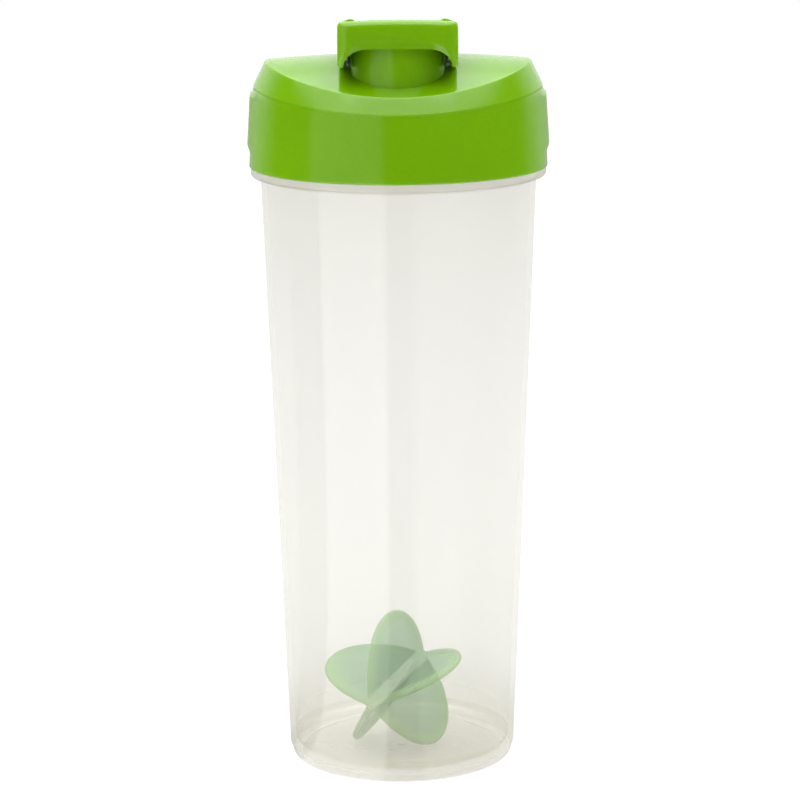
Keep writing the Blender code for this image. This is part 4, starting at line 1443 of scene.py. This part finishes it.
star_shape = bmesh.new()
core = turned("star_core", [
    (0, STAR_HALF_LENGTH + POLE_BOSS, 0),
    (CORE_RADIUS, STAR_HALF_LENGTH + POLE_BOSS, CORE_EDGE),
    (CORE_RADIUS, -STAR_HALF_LENGTH - POLE_BOSS, CORE_EDGE),
    (0, -STAR_HALF_LENGTH - POLE_BOSS, 0),
], ROUND_STEPS)
star_shape.from_mesh(core.data)
bpy.data.objects.remove(core, do_unlink=True)
for index in range(STAR_BLADES):
    sides = (BLADE_THICKNESS / 2, -BLADE_THICKNESS / 2)
    blade = skin("star_blade", [[(u, y, v) for u, v in blade_outline] for y in sides])
    ease_edges(blade, BLADE_EDGE, BLADE_SEGMENTS, limit_method="ANGLE", angle_limit=BLADE_EDGE_ANGLE)
    blade.data.transform(Matrix.Rotation(2 * math.pi * index / STAR_BLADES + STAR_ROLL, 4, "Z"))
    star_shape.from_mesh(blade.data)
    bpy.data.objects.remove(blade, do_unlink=True)
star = as_object("agitator_star", star_shape)
print("points of the plain blades:", len(star.data.vertices))

# %% [markdown]
# A voxel remesh makes one skin of the blades and the core, and smoothing softens their roots.
# The star is then marked on its rims, for the painted glow there, and tipped over so that it
# lies on the floor on two of its blades, as a loose one would.

# %% Star in one moulding
STAR_VOXEL = 0.4 * MM
SOFTENING_STEPS = 8
remesh = star.modifiers.new("one_skin", "REMESH")
remesh.mode = "VOXEL"
remesh.voxel_size = STAR_VOXEL
soften = star.modifiers.new("soften", "SMOOTH")
soften.factor = 0.5
soften.iterations = SOFTENING_STEPS
settle(star)
print("faces of the star in one skin:", len(star.data.polygons))

# %% Rims of the star, and the star laid down
RIM_WIDTH = 6.5 * MM
LEAST_SLOPE = 0.35
STAR_SHARP_ANGLE = math.radians(80)


def rim_glow_share(place):
    """Share of the painted glow: 1 on a blade's rim and 0 from RIM_WIDTH inwards."""
    along = min(1.0, abs(place.z) / STAR_HALF_LENGTH)
    outline = BLADE_RADIUS * max(0.0, 1 - along ** 2) ** (STAR_FULLNESS / 2)
    slope = max(LEAST_SLOPE, 1 - along ** 2)
    inside = (outline - math.hypot(place.x, place.y)) * slope
    return smooth(1 - inside / RIM_WIDTH)


rim_glow_mark = star.data.attributes.new(RIM_GLOW_MARK, "FLOAT", "POINT")
rim_glow_mark.data.foreach_set("value", [rim_glow_share(vertex.co) for vertex in star.data.vertices])
# The star's axis comes to lie towards the front, and its first blade points up.
lying = Matrix(((0, -1, 0), (0, 0, -1), (1, 0, 0))).to_4x4()
star.data.transform(Matrix.Rotation(STAR_TURN, 4, "Z") @ Matrix.Rotation(STAR_DIP, 4, "X") @ lying)
lowest = min(vertex.co.z for vertex in star.data.vertices)
star.data.transform(Matrix.Translation((*STAR_PLACE, star_low.z - lowest)))
finish_piece(star, star_green, "agitator", "agitator", STAR_SHARP_ANGLE)

# %% [markdown]
# ## Floor
#
# The photograph has a plain white ground. Here it is a wide sheet of white paper. The camera
# sees it as white with the cup's soft shadow on it. What the glossy plastic mirrors from the
# floor is different in a real studio: the paper is bright only where the softbox shines along
# it, in a sector between the softbox and the cup, and dim beside that. The floor's glossy look
# is made of these sectors, and they leave the broad upright bands on the cup's wall.

# %% Directions and distances on the paper
paper, paper_tree = new_material("white_paper")
paper_place = add_node(paper_tree, "ShaderNodeNewGeometry").outputs["Position"]
paper_xyz = add_node(paper_tree, "ShaderNodeSeparateXYZ", {"Vector": paper_place})
forward = add_node(paper_tree, "ShaderNodeMath", {
    0: paper_xyz.outputs["Y"],
    1: -1.0,
}, operation="MULTIPLY")
azimuth_on_floor = add_node(paper_tree, "ShaderNodeMath", {
    0: paper_xyz.outputs["X"],
    1: forward.outputs["Value"],
}, operation="ARCTAN2").outputs["Value"]
distance_on_floor = add_node(paper_tree, "ShaderNodeVectorMath", {
    0: paper_place,
}, operation="LENGTH").outputs["Value"]
backwards = add_node(paper_tree, "ShaderNodeMath", {
    0: paper_xyz.outputs["Y"],
    1: distance_on_floor,
}, operation="DIVIDE")
print("paper material has", len(paper_tree.nodes), "nodes so far")

# %% Sectors that the plastic mirrors from the paper
SECTOR_REACH, REACH_EDGE = 596 * MM, 15 * MM
SECTOR_EDGE = math.radians(2.5)
SECTOR_FROM, SECTOR_TO = math.radians(-69), math.radians(-10.7)
DIM_FROM, DIM_TO = math.radians(-106), math.radians(13.7)


def sector(low, high):
    """1 between two directions on the floor round the cup and 0 outside them, with soft edges."""
    sides = []
    for edge in (low, high):
        sides.append(add_node(paper_tree, "ShaderNodeMapRange", {
            "Value": azimuth_on_floor,
            "From Min": edge - SECTOR_EDGE,
            "From Max": edge + SECTOR_EDGE,
        }, interpolation_type="SMOOTHSTEP").outputs["Result"])
    inside = add_node(paper_tree, "ShaderNodeMath", {0: sides[0], 1: sides[1]}, operation="SUBTRACT")
    return inside.outputs["Value"]


sector_edges = (DIM_FROM, SECTOR_FROM, SECTOR_TO, DIM_TO)
print("edges of the sectors in degrees:", [round(math.degrees(edge)) for edge in sector_edges])

# %% Brightness that the plastic mirrors from the paper
BEHIND_FROM, BEHIND_TO = 0.25, 0.8
PAPER_DIM, PAPER_EVEN, PAPER_LIT, PAPER_BEHIND = 0.01, 0.6, 1.8, 0.5
far_paper = add_node(paper_tree, "ShaderNodeMapRange", {
    "Value": backwards.outputs["Value"],
    "From Min": BEHIND_FROM,
    "From Max": BEHIND_TO,
    "To Min": PAPER_DIM,
    "To Max": PAPER_BEHIND,
}, interpolation_type="SMOOTHSTEP").outputs["Result"]
beyond = add_node(paper_tree, "ShaderNodeMapRange", {
    "Value": distance_on_floor,
    "From Min": SECTOR_REACH - REACH_EDGE,
    "From Max": SECTOR_REACH + REACH_EDGE,
}, interpolation_type="SMOOTHSTEP").outputs["Result"]
even_paper = add_node(paper_tree, "ShaderNodeMix", {
    "Factor": beyond,
    "A": PAPER_EVEN,
    "B": far_paper,
})
dimmed = add_node(paper_tree, "ShaderNodeMix", {
    "Factor": sector(DIM_FROM, DIM_TO),
    "A": even_paper.outputs["Result"],
    "B": PAPER_DIM,
})
near = add_node(paper_tree, "ShaderNodeMath", {0: 1.0, 1: beyond}, operation="SUBTRACT")
lit_part = add_node(paper_tree, "ShaderNodeMath", {
    0: sector(SECTOR_FROM, SECTOR_TO),
    1: near.outputs["Value"],
}, operation="MULTIPLY")
mirrored = add_node(paper_tree, "ShaderNodeMix", {
    "Factor": lit_part.outputs["Value"],
    "A": dimmed.outputs["Result"],
    "B": PAPER_LIT,
})
print("mirrored paper: dim", PAPER_DIM, "even", PAPER_EVEN, "lit", PAPER_LIT, "behind", PAPER_BEHIND)

# %% [markdown]
# The camera gets a mix: mostly an even glow at white, and a part of the plain paper, which
# carries the shadow. The light that the paper sends on to the cup is the plain paper's alone.

# %% White paper
PAPER_WHITE = "e2e2e0"
PAPER_GLOW = 0.85
PAPER_GLOW_LEVEL = 1.03
paper_rays = add_node(paper_tree, "ShaderNodeLightPath")
paper_diffuse = add_node(paper_tree, "ShaderNodeBsdfDiffuse", {"Color": linear(PAPER_WHITE)})
paper_glow = add_node(paper_tree, "ShaderNodeMath", {
    0: paper_rays.outputs["Is Camera Ray"],
    1: PAPER_GLOW,
}, operation="MULTIPLY")
paper_camera = add_node(paper_tree, "ShaderNodeEmission", {"Strength": PAPER_GLOW_LEVEL})
paper_seen = add_node(paper_tree, "ShaderNodeMixShader", {
    0: paper_glow.outputs["Value"],
    1: paper_diffuse.outputs["BSDF"],
    2: paper_camera.outputs["Emission"],
})
paper_mirrored = add_node(paper_tree, "ShaderNodeEmission", {"Strength": mirrored.outputs["Result"]})
paper_look = add_node(paper_tree, "ShaderNodeMixShader", {
    0: paper_rays.outputs["Is Glossy Ray"],
    1: paper_seen.outputs["Shader"],
    2: paper_mirrored.outputs["Emission"],
})
add_node(paper_tree, "ShaderNodeOutputMaterial", {"Surface": paper_look.outputs["Shader"]})
print("share of plain paper that the camera sees:", round(1 - PAPER_GLOW, 2))

# %% Sheet of paper
FLOOR_SIZE = 6.0
shape = bmesh.new()
bmesh.ops.create_grid(shape, x_segments=1, y_segments=1, size=FLOOR_SIZE / 2)
floor = as_object("floor", shape)
floor.data.materials.append(paper)
print("paper sheet in metres:", FLOOR_SIZE)

# %% [markdown]
# ## Studio
#
# The world is the room. A white backdrop stands behind the cup and lights the milky wall from
# the back, the walls at the sides are paler than the room behind the camera, and a broad soft
# ceiling lights the top. The room in front is dim, so the green stays deep.

# %% Light of the room
ROOM_DIM = 0.16
BACKDROP = 1.0
LEFT_WALL, RIGHT_WALL = 0.55, 0.75
CEILING = 1.5
# How far along an axis of the room, from -1 to 1, each side begins and is full.
BACK_FROM, BACK_TO = -0.5, 0.3
SIDE_FROM, SIDE_TO = 0.1, 0.8
CEILING_FROM, CEILING_TO = 0.48, 0.66

world = bpy.data.worlds.new("studio")
bpy.context.scene.world = world
world.use_nodes = True
world_tree = world.node_tree
world_tree.nodes.clear()
direction = add_node(world_tree, "ShaderNodeTexCoord").outputs["Generated"]
towards = add_node(world_tree, "ShaderNodeSeparateXYZ", {"Vector": direction}).outputs


def with_wall(light, axis, begins, full, brightness):
    """Adds a bright side to the room's light, which begins and is full along an axis."""
    share = add_node(world_tree, "ShaderNodeMapRange", {
        "Value": towards[axis],
        "From Min": begins,
        "From Max": full,
    }, interpolation_type="SMOOTHSTEP")
    return add_node(world_tree, "ShaderNodeMath", {
        0: share.outputs["Result"],
        1: brightness,
        2: light,
    }, operation="MULTIPLY_ADD").outputs["Value"]


room_light = with_wall(ROOM_DIM, "Y", BACK_FROM, BACK_TO, BACKDROP - ROOM_DIM)
room_light = with_wall(room_light, "X", -SIDE_FROM, -SIDE_TO, LEFT_WALL)
room_light = with_wall(room_light, "X", SIDE_FROM, SIDE_TO, RIGHT_WALL)
room_light = with_wall(room_light, "Z", CEILING_FROM, CEILING_TO, CEILING - ROOM_DIM)
print("brightness: room", ROOM_DIM, "backdrop", BACKDROP, "ceiling", CEILING)

# %% [markdown]
# What the glossy plastic mirrors is set by itself: the white backdrop, a bright ceiling, and a
# black studio in front, which keeps the green free of haze. To the camera, and to plastic that
# looks towards the backdrop, the background is plain white.

# %% What the plastic mirrors of the room
ROOM_MIRRORED, BACKDROP_MIRRORED, CEILING_MIRRORED = 0.01, 1.0, 2.25
MIRRORED_BACK_FROM, MIRRORED_BACK_TO = 0.3, 0.75
ceiling_share = add_node(world_tree, "ShaderNodeMapRange", {
    "Value": towards["Z"],
    "From Min": CEILING_FROM,
    "From Max": CEILING_TO,
}, interpolation_type="SMOOTHSTEP")
room_mirrored = add_node(world_tree, "ShaderNodeMix", {
    "Factor": ceiling_share.outputs["Result"],
    "A": with_wall(ROOM_MIRRORED, "Y", MIRRORED_BACK_FROM, MIRRORED_BACK_TO, BACKDROP_MIRRORED),
    "B": CEILING_MIRRORED,
}).outputs["Result"]
print("mirrored: room", ROOM_MIRRORED, "backdrop", BACKDROP_MIRRORED, "ceiling", CEILING_MIRRORED)

# %% World
world_rays = add_node(world_tree, "ShaderNodeLightPath")
mirrored_or_through = add_node(world_tree, "ShaderNodeMath", {
    0: world_rays.outputs["Is Glossy Ray"],
    1: world_rays.outputs["Is Transmission Ray"],
}, operation="MAXIMUM")
room_seen = add_node(world_tree, "ShaderNodeMix", {
    "Factor": mirrored_or_through.outputs["Value"],
    "A": room_light,
    "B": room_mirrored,
})
world_strength = add_node(world_tree, "ShaderNodeMix", {
    "Factor": world_rays.outputs["Is Camera Ray"],
    "A": room_seen.outputs["Result"],
    "B": 1.0,
})
background = add_node(world_tree, "ShaderNodeBackground", {
    "Color": (1.0, 1.0, 1.0, 1.0),
    "Strength": world_strength.outputs["Result"],
})
add_node(world_tree, "ShaderNodeOutputWorld", {"Surface": background.outputs["Background"]})
print("world has", len(world_tree.nodes), "nodes")

# %% [markdown]
# ## Softboxes
#
# Two softboxes stand in the room. One stands on the paper at the front left, and the lid
# mirrors it as one broad upright highlight. The other hangs overhead and brightens the lid's
# top. Their power is worked out from how bright their faces look.


# %% Softboxes
def softbox(name, width, tall, brightness, place):
    """A rectangular lamp whose face has the given brightness, where white paper is 1."""
    data = bpy.data.lights.new(name, "AREA")
    data.shape = "RECTANGLE"
    data.size = width
    data.size_y = tall
    data.energy = brightness * width * tall * math.pi
    lamp = bpy.data.objects.new(name, data)
    lamp.matrix_world = place
    lamp.visible_camera = False
    bpy.context.scene.collection.objects.link(lamp)
    print(name, "power in watts:", round(data.energy, 2))


KEY_AZIMUTH = math.radians(-41)
KEY_DISTANCE = 0.62
KEY_WIDTH, KEY_TALL = 0.68, 0.72
KEY_FOOT = 5 * MM
KEY_BRIGHTNESS = 0.62
TOP_HEIGHT = 1.1
TOP_SIZE = 1.4
TOP_BRIGHTNESS = 1.9
key_place = (
    Matrix.Rotation(KEY_AZIMUTH, 4, "Z")
    @ Matrix.Translation((0, -KEY_DISTANCE, KEY_TALL / 2 + KEY_FOOT))
    @ Matrix.Rotation(math.pi / 2, 4, "X")
)
softbox("key_softbox", KEY_WIDTH, KEY_TALL, KEY_BRIGHTNESS, key_place)
softbox("top_softbox", TOP_SIZE, TOP_SIZE, TOP_BRIGHTNESS, Matrix.Translation((0, 0, TOP_HEIGHT)))

# %% [markdown]
# ## Last step
#
# The Standard view shows each colour about as it is written.

# %% The last step
bpy.context.scene.view_settings.view_transform = "Standard"
